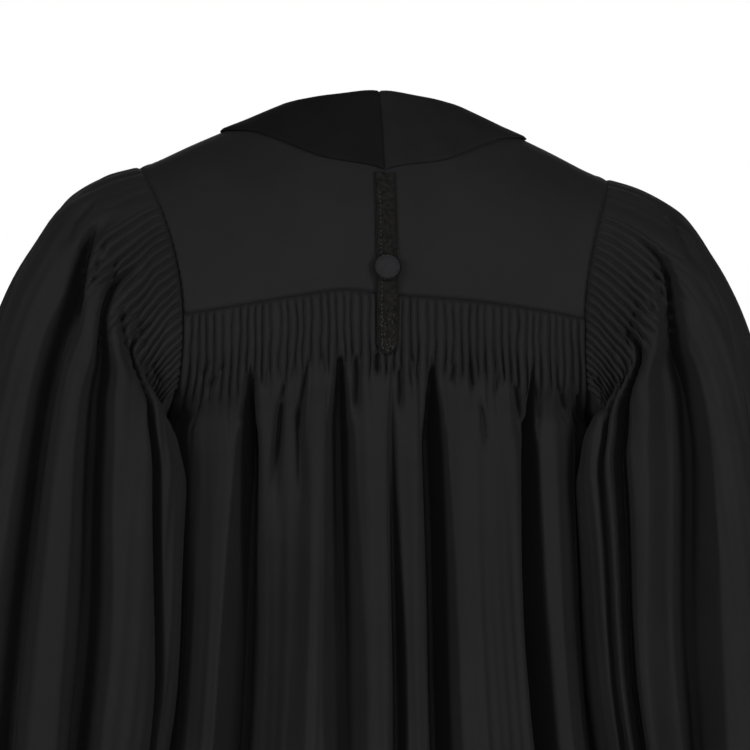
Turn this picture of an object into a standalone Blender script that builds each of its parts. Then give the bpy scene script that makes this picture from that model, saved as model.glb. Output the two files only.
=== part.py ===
"""Clergy robe: a fluted pulpit gown, hollow, in the form that it takes when it is worn.

Metres, +Z up. The front faces -Y and the wearer's left is +X. The origin lies on the shoulder line,
at the middle of the neck opening, where the wearer holds the garment up.
"""

import math

import bpy
import bmesh
import numpy as np
from mathutils import Vector

# Cloth and seams
WALL = 0.002
SEAM_GAP = 0.0004
LAID_GAP = 0.0005
FLUTE_HEIGHT = 0.0016

# Shoulders: the ridge falls away from a rounded top, and the cloth turns down over it
RIDGE_TOP = 0.055
RIDGE_SLOPE = 0.47
RIDGE_ROUND = 0.03
BLADE_LEVEL = -0.200
SHOULDER_REACH = 0.330
SHOULDER_BACK = 0.118
SHOULDER_FRONT = 0.125
GIRTH_SQUARENESS = 2.3
BACK_TURN = 2.2
FRONT_TURN = 1.8

# One shoulder stands a little higher, as the garment hangs in use
LEAN = 0.020
LEAN_END = 0.35

# Armhole seam, seen from the side as a tall loop that bows towards the neck at mid height
ARMHOLE_X = 0.222
ARMHOLE_SPREAD = 0.012
ARMHOLE_BOW = 0.024
UNDERARM_DROP = 0.290
ARMHOLE_TOP_X = ARMHOLE_X + ARMHOLE_SPREAD
ARMHOLE_TOP_Z = RIDGE_TOP - RIDGE_SLOPE * (math.hypot(ARMHOLE_TOP_X, RIDGE_ROUND) - RIDGE_ROUND)
ARMHOLE_Z = (ARMHOLE_TOP_Z - UNDERARM_DROP) / 2.0
ARMHOLE_HALF = (ARMHOLE_TOP_Z + UNDERARM_DROP) / 2.0

# Hem
HEM_DROP = 1.340

# Girth of the body below the shoulder blades
GIRTH_COLUMNS = ("drop", "half_width", "back", "front")
GIRTHS = (
    (0.200, 0.330, 0.118, 0.125),
    (0.245, 0.276, 0.118, 0.126),
    (0.290, 0.210, 0.118, 0.126),
    (0.360, 0.209, 0.124, 0.130),
    (0.450, 0.209, 0.133, 0.138),
    (0.560, 0.213, 0.146, 0.149),
    (0.660, 0.224, 0.161, 0.163),
    (0.800, 0.258, 0.185, 0.186),
    (1.000, 0.308, 0.222, 0.220),
    (1.340, 0.385, 0.290, 0.280),
)

# Neckline, collar and yoke: stations from the centre front round the neck to the centre back
NECK_COLUMNS = ("station", "side", "edge_x", "edge_z", "neck_x", "neck_z", "fall_x", "fall_z")
NECK_STATIONS = (
    (0.0, -1, 0.0000, -0.130, 0.0000, -0.168, 0.0000, -0.200),
    (1.0, -1, 0.0450, -0.070, 0.0570, -0.096, 0.0720, -0.128),
    (2.0, -1, 0.0800, -0.005, 0.0960, -0.025, 0.1250, -0.060),
    (3.0, 1, 0.0900, 0.0240, 0.1080, 0.0150, 0.1530, -0.0045),
    (4.0, 1, 0.0750, 0.0300, 0.0880, 0.0080, 0.1180, 0.0000),
    (5.0, 1, 0.0380, 0.0365, 0.0450, -0.0100, 0.0560, -0.0260),
    (6.0, 1, 0.0000, 0.0395, 0.0000, -0.0200, 0.0000, -0.0380),
)

SHOULDER_STATION = 3.0

# Yoke seams: height of the seam along the width, and the turn of the armhole where they end
BACK_SEAM_COLUMNS = ("x", "z")
BACK_SEAM = (
    (-0.193, -0.1850),
    (-0.150, -0.1775),
    (-0.080, -0.1690),
    (0.000, -0.1640),
    (0.040, -0.1600),
    (0.080, -0.1655),
    (0.150, -0.1775),
    (0.193, -0.1850),
)
BACK_CORNER = math.radians(99.0)
FRONT_SEAM_CENTRE = -0.232
FRONT_CORNER = math.radians(76.0)

# Folds of the back: share of the half girth at the top and below, and height in millimetres
FOLD_COLUMNS = ("top", "low", "height")
BACK_FOLDS = (
    (-1.000, -1.000, 0),
    (-0.900, -0.900, 5),
    (-0.755, -0.773, -10),
    (-0.640, -0.656, 9),
    (-0.535, -0.538, -24),
    (-0.445, -0.456, 10),
    (-0.276, -0.281, 10),
    (-0.173, -0.189, -24),
    (-0.088, -0.091, -1),
    (0.030, 0.010, 10),
    (0.151, 0.143, -20),
    (0.235, 0.252, 11),
    (0.362, 0.353, -3),
    (0.400, 0.408, 2),
    (0.496, 0.550, -21),
    (0.671, 0.718, 10),
    (0.860, 0.870, -6),
    (1.000, 1.000, 0),
)
FRONT_LEFT_FOLDS = (
    (0.000, 0.000, 0),
    (0.130, 0.130, 0),
    (0.210, 0.200, 9),
    (0.290, 0.290, -15),
    (0.380, 0.400, 10),
    (0.490, 0.510, -16),
    (0.600, 0.620, 10),
    (0.720, 0.730, -14),
    (0.850, 0.850, 7),
    (1.000, 1.000, 0),
)
FRONT_RIGHT_FOLDS = (
    (0.000, 0.000, 0),
    (0.130, 0.130, 0),
    (0.220, 0.215, 10),
    (0.320, 0.330, -16),
    (0.430, 0.450, 9),
    (0.520, 0.540, -12),
    (0.640, 0.660, 11),
    (0.760, 0.780, -15),
    (0.880, 0.880, 6),
    (1.000, 1.000, 0),
)

# The panels widen under the armholes, so a fold lies nearer to the side along the yoke seam
SEAM_SHARE_COLUMNS = ("below", "seam")
SEAM_SHARES = (
    (0.00, 0.00),
    (0.60, 0.79),
    (0.76, 0.91),
    (0.90, 0.97),
    (1.00, 1.00),
)
OPENING_LENGTH = 0.13
FOLD_START = 0.040
FOLD_GROWTH = 0.110
FOLD_HEM_GAIN = 1.7
SETTLE_START = 0.10
SETTLE_LENGTH = 0.25
FOLD_SPANS = 3

# Sleeve rings: outer and inner ends of the loop, and how deep it is behind and in front
RING_COLUMNS = ("ring", "outer_x", "outer_z", "inner_x", "inner_z", "back", "front", "hug")
RINGS = (
    (0, 0.2340, -0.041, 0.2100, -0.290, 0.100, 0.100, 0.000),
    (1, 0.2620, -0.046, 0.2150, -0.294, 0.110, 0.110, 0.000),
    (2, 0.2920, -0.061, 0.2180, -0.299, 0.117, 0.116, 0.000),
    (3, 0.3180, -0.082, 0.2200, -0.308, 0.121, 0.119, 0.012),
    (4, 0.3400, -0.115, 0.2220, -0.322, 0.123, 0.121, 0.026),
    (5, 0.3600, -0.150, 0.2245, -0.344, 0.125, 0.123, 0.036),
    (6, 0.3770, -0.193, 0.2270, -0.376, 0.127, 0.125, 0.044),
    (7, 0.3970, -0.268, 0.2295, -0.430, 0.130, 0.128, 0.045),
    (8, 0.4130, -0.358, 0.2300, -0.490, 0.134, 0.132, 0.045),
    (9, 0.4260, -0.458, 0.2315, -0.550, 0.138, 0.136, 0.044),
    (10, 0.4380, -0.568, 0.2360, -0.611, 0.143, 0.141, 0.040),
    (11, 0.4460, -0.660, 0.2450, -0.660, 0.148, 0.146, 0.036),
)
ARMHOLE_BLEND_RINGS = 3.0
HUG_CLEAR = 0.014

# Folds of the sleeves: degrees round the sleeve at its head, shoulder and cuff, and millimetres.
# Nought is the outer side, plus is behind and minus is in front.
SLEEVE_FOLD_COLUMNS = ("head", "shoulder", "cuff", "height")
LEFT_SLEEVE_FOLDS = (
    (-160, -170, -172, 2),
    (-100, -140, -150, -10),
    (-84, -112, -124, 9),
    (-66, -88, -102, -15),
    (-50, -68, -80, 9),
    (-34, -48, -54, -14),
    (-16, -20, -22, 7),
    (4, 8, 18, -10),
    (20, 30, 46, 8),
    (38, 61, 72, -20),
    (52, 77, 94, 10),
    (63, 92, 113, -18),
    (78, 113, 144, 10),
    (96, 140, 167, -7),
    (160, 170, 178, 1),
)
RIGHT_SLEEVE_FOLDS = (
    (-160, -170, -172, 2),
    (-98, -136, -150, -8),
    (-80, -108, -120, 9),
    (-62, -84, -96, -17),
    (-46, -62, -72, 9),
    (-28, -40, -46, -13),
    (-10, -14, -14, 6),
    (6, 10, 26, -6),
    (18, 30, 58, -14),
    (33, 52, 81, 11),
    (55, 77, 100, -18),
    (75, 105, 128, 11),
    (100, 140, 154, -13),
    (150, 165, 176, 2),
)
SLEEVE_FOLD_START = 1.0
SLEEVE_FOLD_FULL = 4.0
HEAD_RING = 1.5
SHOULDER_RING = 4.5
UNDER_SHARE = 0.30
UNDER_REACH = 0.60
SLEEVE_TWIST = math.radians(15.0)
TWIST_RINGS = 2.5
GAP_RINGS = 0.5

# Flutes and gathers
BACK_FLUTES = 50
FLUTE_END = 0.058
FLUTE_FADE = 0.022
FRONT_GATHERS = 11
FRONT_GATHER_HEIGHT = 0.0022
SLEEVE_FLUTES = 22
SLEEVE_FLUTE_START = 46.0
SLEEVE_FLUTE_END = 136.0
SLEEVE_HEAD_GATHERS = 5
SLEEVE_UNDER_SPANS = 6
SLEEVE_FLUTE_RINGS = 1.9
SLEEVE_FLUTE_FADE = 0.7
HEAD_GATHER_SHARE = 0.6
FLUTE_STOP = 8.0
UNTWIST_STEPS = 4

# Rows of each wall: metres below the seam for the body, to which the hem is added, and ring
# numbers for the sleeves
BACK_ROWS = (
    0.000, 0.020, 0.040, 0.058, 0.080, 0.094, 0.102, 0.105, 0.135,
    0.175, 0.235, 0.320, 0.440, 0.620, 0.860,
)
BACK_FLUTED_ROWS = 4
BACK_INSIDE_ROWS = (2, 4, 5, 6, 7, 8, 9, 10, 11, 12, 13, 14, 15)
FRONT_ROWS = (
    0.000, 0.030, 0.058, 0.085, 0.112, 0.134, 0.145, 0.151, 0.154,
    0.200, 0.270, 0.370, 0.520, 0.720, 0.940,
)
FRONT_GATHERED_ROWS = 3
FRONT_INSIDE_ROWS = (2, 3, 4, 5, 6, 7, 8, 9, 10, 11, 12, 13, 14, 15)
SLEEVE_ROWS = (0.0, 0.6, 1.3, 1.9, 2.6, 3.3, 4.2, 5.2, 6.4, 7.8, 9.4, 11.0)
SLEEVE_FLUTED_ROWS = 4
SLEEVE_INSIDE_ROWS = (2, 4, 5, 6, 7, 8, 9, 10, 11)

# Yoke and collar grids
YOKE_SPANS = (("front seam", 6), ("armhole front", 6), ("armhole back", 7), ("back seam", 10))
YOKE_STATIONS = {
    "front seam": (0.0, 1.6),
    "armhole front": (1.6, 3.0),
    "armhole back": (3.0, 4.4),
    "back seam": (4.4, 6.0),
}
YOKE_ROWS = (0.0, 0.22, 0.45, 0.72, 1.0)
COLLAR_INNER_ROWS = (0.0, 0.35, 0.70)

# Closing band, braid and button
BAND_HALF = 0.019
BAND_WALL = 0.002
BAND_SPAN = 0.024
BAND_END_ROW = 12
BRAID_HALF = 0.0105
BRAID_WALL = 0.0016
BRAID_TOP = -0.0400
BRAID_END = -0.2230
BRAID_POINT = 0.010
BRAID_TIP_SHARE = 0.1
BRAID_LIFT = 0.0022
BRAID_RISE = (-0.070, -0.144)
BUTTON_RADIUS = 0.0122
BUTTON_HEIGHT = 0.0080
BUTTON_RIM = 0.0016
BUTTON_FOOT = 0.0112
BUTTON_Z = -0.133
BUTTON_TIP = 8

# Colours from the photo, as linear values, and roughness
CLOTH = ("robe cloth", (0.017, 0.017, 0.019), 0.80)
VELVET = ("collar cloth", (0.008, 0.008, 0.009), 0.95)
BRAID = ("braid", (0.012, 0.011, 0.011), 0.70)
BUTTON = ("button cloth", (0.024, 0.024, 0.027), 0.60)


def column(rows, names, name):
    """One named column of a table, as an array."""
    return np.array([row[names.index(name)] for row in rows], dtype=float)


def ease(t):
    """A smooth step from nought to one."""
    t = np.clip(t, 0.0, 1.0)
    return t * t * (3.0 - 2.0 * t)


def flow(t, at, values):
    """A smooth curve through points, which never swings past them."""
    t = np.asarray(t, dtype=float)
    at = np.asarray(at, dtype=float)
    values = np.asarray(values, dtype=float)
    step = np.diff(at)
    slope = np.diff(values) / step
    bend = np.zeros_like(values)
    bend[0] = slope[0]
    bend[-1] = slope[-1]
    product = slope[:-1] * slope[1:]
    total = np.where(np.abs(slope[:-1] + slope[1:]) < 1e-12, 1.0, slope[:-1] + slope[1:])
    bend[1:-1] = np.where(product > 0.0, 2.0 * product / total, 0.0)
    k = np.clip(np.searchsorted(at, t, side="right") - 1, 0, len(at) - 2)
    h = step[k]
    s = np.clip((t - at[k]) / h, 0.0, 1.0)
    start = (1.0 + 2.0 * s) * (1.0 - s) ** 2 * values[k] + s * (1.0 - s) ** 2 * h * bend[k]
    end = s * s * (3.0 - 2.0 * s) * values[k + 1] - s * s * (1.0 - s) * h * bend[k + 1]
    return start + end


def lean(points):
    """Raise the wearer's left shoulder and lower the right one, fading out below the yoke."""
    points = np.array(points, dtype=float)
    fade = 1.0 - ease(-points[..., 2] / LEAN_END)
    points[..., 2] += LEAN * points[..., 0] * fade
    return points


def ridge(x):
    """Height of the shoulder ridge."""
    return RIDGE_TOP - RIDGE_SLOPE * (np.sqrt(np.square(x) + RIDGE_ROUND ** 2) - RIDGE_ROUND)


def shoulder_depth(x, side):
    """Depth of the cloth at blade level, behind (side +1) or in front (side -1)."""
    full = np.where(np.asarray(side) > 0, SHOULDER_BACK, SHOULDER_FRONT)
    share = np.clip(np.abs(x) / SHOULDER_REACH, 0.0, 1.0)
    return full * (1.0 - share ** GIRTH_SQUARENESS) ** (1.0 / GIRTH_SQUARENESS)


def shoulder(x, turn):
    """Point of the shoulder form: turn runs from -90 degrees, in front, over the ridge to +90."""
    side = np.where(turn >= 0.0, 1.0, -1.0)
    power = np.where(side > 0, BACK_TURN, FRONT_TURN)
    lift = np.clip(np.cos(turn), 0.0, 1.0) ** (2.0 / power)
    z = BLADE_LEVEL + (ridge(x) - BLADE_LEVEL) * lift
    y = shoulder_depth(x, side) * np.sin(turn)
    return np.stack([x, y, z], axis=-1)


def shoulder_turn(x, z, side):
    """Turn at which the shoulder form has height z."""
    power = np.where(np.asarray(side) > 0, BACK_TURN, FRONT_TURN)
    share = np.clip((z - BLADE_LEVEL) / (ridge(x) - BLADE_LEVEL), 0.0, 1.0)
    return side * np.arccos(np.clip(share ** (power / 2.0), 0.0, 1.0))


def girth(drop, name):
    """A measure of the body's cross-section at a drop below the origin."""
    drop = np.clip(drop, GIRTHS[0][0], GIRTHS[-1][0])
    return flow(drop, column(GIRTHS, GIRTH_COLUMNS, "drop"), column(GIRTHS, GIRTH_COLUMNS, name))


def body_depth(x, z, side):
    """Depth y of the plain cloth at width x and height z."""
    above = shoulder(x, shoulder_turn(x, z, side))[..., 1]
    half = girth(-z, "half_width")
    full = np.where(np.asarray(side) > 0, girth(-z, "back"), girth(-z, "front"))
    share = np.clip(np.abs(x) / half, 0.0, 1.0)
    below = side * full * (1.0 - share ** GIRTH_SQUARENESS) ** (1.0 / GIRTH_SQUARENESS)
    return np.where(z > BLADE_LEVEL, above, below)


def armhole(angle):
    """Point of the left armhole seam: 0 at the shoulder, +90 degrees behind, 180 under the arm."""
    side = np.where(np.sin(angle) >= 0.0, 1.0, -1.0)
    x = ARMHOLE_X + ARMHOLE_SPREAD * np.cos(angle) - ARMHOLE_BOW * np.sin(angle) ** 2
    z = ARMHOLE_Z + ARMHOLE_HALF * np.cos(angle)
    return np.stack([x, body_depth(x, z, side), z], axis=-1)


def edge_width(z):
    """Half width of the front and back panels: the armhole, then the side seam."""
    cosine = np.clip((z - ARMHOLE_Z) / ARMHOLE_HALF, -1.0, 1.0)
    at_armhole = ARMHOLE_X + ARMHOLE_SPREAD * cosine - ARMHOLE_BOW * (1.0 - cosine ** 2)
    return np.where(-z < UNDERARM_DROP, at_armhole, girth(-z, "half_width"))


def body_width(y, z):
    """Half width of the plain body at depth y and height z."""
    full = np.where(y >= 0.0, girth(-z, "back"), girth(-z, "front"))
    share = np.clip(np.abs(y) / full, 0.0, 1.0)
    half = girth(-z, "half_width") * (1.0 - share ** GIRTH_SQUARENESS) ** (1.0 / GIRTH_SQUARENESS)
    return np.minimum(half, edge_width(z))


def body_point(share, z, side, samples=64):
    """Point at a share (-1 to 1) of the half girth, measured along the cloth, at height z."""
    share = np.asarray(share, dtype=float)
    z = np.broadcast_to(np.asarray(z, dtype=float), share.shape)
    spread = np.sin(np.linspace(0.0, math.pi / 2.0, samples))
    x = edge_width(z)[..., None] * spread
    y = body_depth(x, np.repeat(z[..., None], samples, axis=-1), side)
    lengths = np.hypot(np.diff(x, axis=-1), np.diff(y, axis=-1))
    along = np.concatenate([np.zeros_like(z)[..., None], np.cumsum(lengths, axis=-1)], axis=-1)
    target = np.abs(share) * along[..., -1]
    k = np.clip((along < target[..., None]).sum(axis=-1) - 1, 0, samples - 2)[..., None]
    low = np.take_along_axis(along, k, axis=-1)[..., 0]
    high = np.take_along_axis(along, k + 1, axis=-1)[..., 0]
    part = (target - low) / np.maximum(high - low, 1e-12)
    x_low = np.take_along_axis(x, k, axis=-1)[..., 0]
    x_high = np.take_along_axis(x, k + 1, axis=-1)[..., 0]
    across = x_low + (x_high - x_low) * part
    depth = body_depth(across, z, side)
    return np.stack([np.where(share < 0, -across, across), depth, z], axis=-1)


def normals(points, ring=False):
    """Unit normals of a grid whose rows run down and whose columns run towards +X behind."""
    if ring:
        padded = np.concatenate([points[:, -1:], points, points[:, :1]], axis=1)
        across = padded[:, 2:] - padded[:, :-2]
    else:
        across = np.gradient(points, axis=1)
    down = np.gradient(points, axis=0)
    normal = np.cross(down, across)
    return normal / np.maximum(np.linalg.norm(normal, axis=-1, keepdims=True), 1e-12)


def fold_places(table, fall):
    """Shares of the half girth of the fold table's rows, at a fall below the seam."""
    top = column(table, FOLD_COLUMNS, "top")
    low = column(table, FOLD_COLUMNS, "low")
    below = column(SEAM_SHARES, SEAM_SHARE_COLUMNS, "below")
    seam = np.sign(top) * np.interp(np.abs(top), below, column(SEAM_SHARES, SEAM_SHARE_COLUMNS, "seam"))
    opened = seam + (top - seam) * ease(fall / OPENING_LENGTH)
    return opened + (low - top) * ease((fall - SETTLE_START) / SETTLE_LENGTH)


def fold_columns(table, fall):
    """Shares of the half girth that follow the folds, a few to each side of a fold."""
    at = fold_places(table, fall)
    steps = np.arange((len(at) - 1) * FOLD_SPANS + 1) / FOLD_SPANS
    return np.interp(steps, np.arange(len(at)), at)


def fold_heights(share, rows, table):
    """Height of a panel's folds, for a row of shares at each fall below the seam."""
    height = column(table, FOLD_COLUMNS, "height") / 1000.0
    result = np.array([flow(line, fold_places(table, fall), height) for line, fall in zip(share, rows)])
    grown = ease((rows - FOLD_START) / FOLD_GROWTH)
    gain = 1.0 + (FOLD_HEM_GAIN - 1.0) * ease(rows / HEM_DROP)
    return result * (grown * gain)[:, None]


def seam_clear(offsets, axis, sign):
    """Stop a wall's edge leaning over its seam, so that two walls never meet there."""
    offsets = offsets.copy()
    lengths = np.linalg.norm(offsets, axis=-1, keepdims=True)
    offsets[..., axis] = sign * np.maximum(sign * offsets[..., axis], 0.0)
    left = np.linalg.norm(offsets, axis=-1, keepdims=True)
    return offsets / np.maximum(left, lengths * 0.01) * lengths


# Mesh making


def bridge(mesh, first, second, first_at, second_at):
    """Faces between two lines of vertices: in pairs, or by their places if the counts differ."""
    if len(first) == len(second):
        first_at = range(len(first))
        second_at = range(len(second))
    i = 0
    j = 0
    while i < len(first) - 1 or j < len(second) - 1:
        next_first = first_at[i + 1] if i < len(first) - 1 else math.inf
        next_second = second_at[j + 1] if j < len(second) - 1 else math.inf
        if abs(next_first - next_second) < 1e-9:
            mesh.faces.new((first[i], first[i + 1], second[j + 1], second[j]))
            i += 1
            j += 1
        elif next_first < next_second:
            mesh.faces.new((first[i], first[i + 1], second[j]))
            i += 1
        else:
            mesh.faces.new((first[i], second[j + 1], second[j]))
            j += 1


def wall_mesh(name, outside, inside, ring=False):
    """A closed wall from rows of outer and inner points: (row place, column places, points)."""
    mesh = bmesh.new()
    sides = []
    for rows in (outside, inside):
        lines = []
        for place, at, points in rows:
            line = [mesh.verts.new(Vector(point)) for point in lean(points)]
            if ring:
                line.append(line[0])
            lines.append((place, list(at), line))
        sides.append(lines)
    outer, inner = sides
    for upper, lower in zip(outer[:-1], outer[1:]):
        bridge(mesh, lower[2], upper[2], lower[1], upper[1])
    for upper, lower in zip(inner[:-1], inner[1:]):
        bridge(mesh, upper[2], lower[2], upper[1], lower[1])
    bridge(mesh, outer[0][2], inner[0][2], outer[0][1], inner[0][1])
    bridge(mesh, inner[-1][2], outer[-1][2], inner[-1][1], outer[-1][1])
    if not ring:
        outer_places = [line[0] for line in outer]
        inner_places = [line[0] for line in inner]
        outer_first = [line[2][0] for line in outer]
        inner_first = [line[2][0] for line in inner]
        outer_last = [line[2][-1] for line in outer]
        inner_last = [line[2][-1] for line in inner]
        bridge(mesh, inner_first, outer_first, inner_places, outer_places)
        bridge(mesh, outer_last, inner_last, outer_places, inner_places)
    bmesh.ops.recalc_face_normals(mesh, faces=mesh.faces[:])
    data = bpy.data.meshes.new(name)
    mesh.to_mesh(data)
    mesh.free()
    data.shade_smooth()
    data.set_sharp_from_angle(angle=math.radians(50.0))
    return data


def material(finish):
    """A plain material for one kind of cloth."""
    name, colour, roughness = finish
    made = bpy.data.materials.get(name) or bpy.data.materials.new(name)
    made.use_nodes = True
    shader = made.node_tree.nodes["Principled BSDF"]
    shader.inputs["Base Color"].default_value = (*colour, 1.0)
    shader.inputs["Roughness"].default_value = roughness
    shader.inputs["Metallic"].default_value = 0.0
    return made


def add_piece(name, data, finish, collection):
    """Put a piece's mesh into the robe's collection."""
    data.materials.append(material(finish))
    piece = bpy.data.objects.new(name, data)
    collection.objects.link(piece)
    return piece


# Yoke and collar


def neck_line(station, x_name, z_name):
    """Width and turn of one of the neck's lines at a station, on the wearer's left half."""
    side = column(NECK_STATIONS, NECK_COLUMNS, "side")
    x = column(NECK_STATIONS, NECK_COLUMNS, x_name)
    z = column(NECK_STATIONS, NECK_COLUMNS, z_name)
    at = column(NECK_STATIONS, NECK_COLUMNS, "station")
    turn = shoulder_turn(x, z, side)
    turn[at == SHOULDER_STATION] = 0.0
    return flow(station, at, x), flow(station, at, turn)


def back_seam_height(x):
    """Height of the back yoke seam."""
    return flow(x, column(BACK_SEAM, BACK_SEAM_COLUMNS, "x"), column(BACK_SEAM, BACK_SEAM_COLUMNS, "z"))


def front_seam_height(x):
    """Height of the front yoke seam, which rises towards the armhole."""
    corner = armhole(-FRONT_CORNER)
    return FRONT_SEAM_CENTRE + (corner[2] - FRONT_SEAM_CENTRE) * np.abs(x) / corner[0]


def yoke_outline(mirror):
    """Outer edge of half a yoke, from centre front to centre back: points and neck stations."""
    points = []
    stations = []
    front = armhole(-FRONT_CORNER)
    back = armhole(BACK_CORNER)
    for name, spans in YOKE_SPANS:
        first, last = YOKE_STATIONS[name]
        for k in range(spans + (1 if name == "back seam" else 0)):
            t = k / spans
            if name == "front seam":
                x = front[0] * t
                z = front_seam_height(x)
                point = (x, body_depth(x, z, -1), z)
            elif name == "armhole front":
                point = armhole(-FRONT_CORNER * (1.0 - t))
            elif name == "armhole back":
                point = armhole(BACK_CORNER * t)
            else:
                x = back[0] * (1.0 - t)
                z = back_seam_height(mirror * x)
                point = (x, body_depth(x, z, 1), z)
            points.append(point)
            stations.append(first + (last - first) * t)
    return np.array(points, dtype=float), np.array(stations)


def yoke_half(mirror):
    """Rows of outer points of half a yoke, from the neckline out, centre front to centre back."""
    edge, stations = yoke_outline(mirror)
    side = np.where(stations >= SHOULDER_STATION, 1.0, -1.0)
    edge_turn = shoulder_turn(edge[:, 0], edge[:, 2], side)
    neck_x, neck_turn = neck_line(stations, "neck_x", "neck_z")
    fall_x, fall_turn = neck_line(stations, "fall_x", "fall_z")
    rows = [shoulder(neck_x, neck_turn)]
    for t in YOKE_ROWS[:-1]:
        x = fall_x + (edge[:, 0] - fall_x) * t
        rows.append(shoulder(x, fall_turn + (edge_turn - fall_turn) * t))
    rows.append(edge)
    grid = np.array(rows)
    drop_fix = np.minimum(edge[:, 2] - shoulder(edge[:, 0], edge_turn)[:, 2], 0.0)
    for row, t in enumerate(YOKE_ROWS[:-1]):
        grid[row + 1, :, 2] += drop_fix * t ** 2
    grid[..., 0] *= mirror
    return grid


def collar_half_grid(mirror, yoke_rows):
    """Rows of base points of half a collar, from its standing edge to its fall on the yoke."""
    edge, stations = yoke_outline(mirror)
    edge_x, edge_turn = neck_line(stations, "edge_x", "edge_z")
    neck_x, neck_turn = neck_line(stations, "neck_x", "neck_z")
    rows = []
    for t in COLLAR_INNER_ROWS:
        row = shoulder(edge_x + (neck_x - edge_x) * t, edge_turn + (neck_turn - edge_turn) * t)
        row[:, 0] *= mirror
        rows.append(row)
    rows.append(yoke_rows[0])
    rows.append(yoke_rows[1])
    return np.array(rows)


def open_centre(grid, mirror, columns, gap=SEAM_GAP):
    """Move the columns that meet a centre seam half a gap away from it."""
    for index in columns:
        grid[:, index, 0] = mirror * gap / 2.0
    return grid


def numbered(grid):
    """Rows of a wall with evenly numbered places."""
    places = np.arange(grid.shape[1])
    return [(row, places, grid[row]) for row in range(grid.shape[0])]


def make_yoke(collection):
    """The yoke: one piece over both shoulders, open down the centre front under the band."""
    left = open_centre(yoke_half(1), 1, (0,))
    right = open_centre(yoke_half(-1), -1, (0,))
    left[:, -1, 0] = 0.0
    grid = np.concatenate([right, left[:, -2::-1]], axis=1)
    normal = -normals(grid)
    inner = -normal * WALL
    spans = dict(YOKE_SPANS)
    front = spans["front seam"]
    arm = spans["armhole front"] + spans["armhole back"]
    count = grid.shape[1]
    back_seam = slice(front + arm, count - front - arm)
    for seam in (slice(0, front + 1), back_seam, slice(count - front - 1, count)):
        inner[-1, seam] = seam_clear(inner[-1, seam], 2, 1)
    right_arm = slice(front, front + arm + 1)
    left_arm = slice(count - front - arm - 1, count - front)
    inner[-1, right_arm] = seam_clear(inner[-1, right_arm], 0, 1)
    inner[-1, left_arm] = seam_clear(inner[-1, left_arm], 0, -1)
    inner[:, 0] = seam_clear(inner[:, 0], 0, -1)
    inner[:, -1] = seam_clear(inner[:, -1], 0, 1)
    add_piece("yoke", wall_mesh("yoke", numbered(grid), numbered(grid + inner)), CLOTH, collection)
    return grid


def make_collar(name, mirror, collection):
    """Half a collar: it stands round the neck and falls on the yoke."""
    grid = collar_half_grid(mirror, yoke_half(mirror))
    outward = normals(grid) * mirror
    base = open_centre(grid + outward * LAID_GAP, mirror, (0, -1))
    cloth = open_centre(base + outward * WALL, mirror, (0, -1))
    add_piece(name, wall_mesh(name, numbered(cloth), numbered(base)), VELVET, collection)


# Body panels


def along_seam(seam, shares):
    """Points at shares (0 to 1) of the length of a seam line."""
    steps = np.linalg.norm(np.diff(seam, axis=0), axis=-1)
    along = np.concatenate([[0.0], np.cumsum(steps)])
    places = shares * along[-1]
    return np.stack([np.interp(places, along, seam[:, axis]) for axis in range(3)], axis=-1)


def panel_form(seam, share, rows, side, table):
    """A body panel that hangs from a seam: base points, folded points and outward directions.

    share holds the share of the half girth for each row and column, and rows how far each row
    hangs below the seam at the armhole. The hem is level.
    """
    top = along_seam(seam, (share[0] + 1.0) / 2.0 if side > 0 else share[0])
    arm = UNDERARM_DROP + seam[-1, 2]
    full = HEM_DROP + top[:, 2]
    level = ease((rows - arm) / (rows[-1] - arm))[:, None]
    drop = rows[:, None] + (full - rows[-1]) * level
    base = body_point(share, top[:, 2] - drop, side)
    base[0] = top - np.array([0.0, 0.0, SEAM_GAP])
    if side < 0:
        base[1:, 1, 0] = BAND_SPAN
        base[1:, 1, 1] = body_depth(base[1:, 1, 0], base[1:, 1, 2], side)
        base[:, 0, 0] = SEAM_GAP / 2.0
        edges = (-1,)
    else:
        edges = (0, -1)
    for edge in edges:
        base[:, edge, 1] = side * np.maximum(side * base[:, edge, 1], SEAM_GAP / 2.0)
    folded = base - side * normals(base) * fold_heights(share, rows, table)[..., None]
    facing = -side * normals(folded)
    facing[0] = seam_clear(facing[0], 2, -1)
    return base, folded, facing


def panel_inside(base, folded, facing, side):
    """Inner points of a body panel, whose edges never lean over a seam."""
    inner = -facing * WALL
    inner[0] = seam_clear(inner[0], 2, -1)
    inner[:, -1] = seam_clear(inner[:, -1], 0, -1)
    inner[:, 0] = seam_clear(inner[:, 0], 0, 1)
    below = base[:, -1, 2] <= -UNDERARM_DROP + SEAM_GAP
    for edge in ((0, -1) if side > 0 else (-1,)):
        inner[below, edge] = seam_clear(inner[below, edge], 1, side)
    return folded + inner


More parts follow.
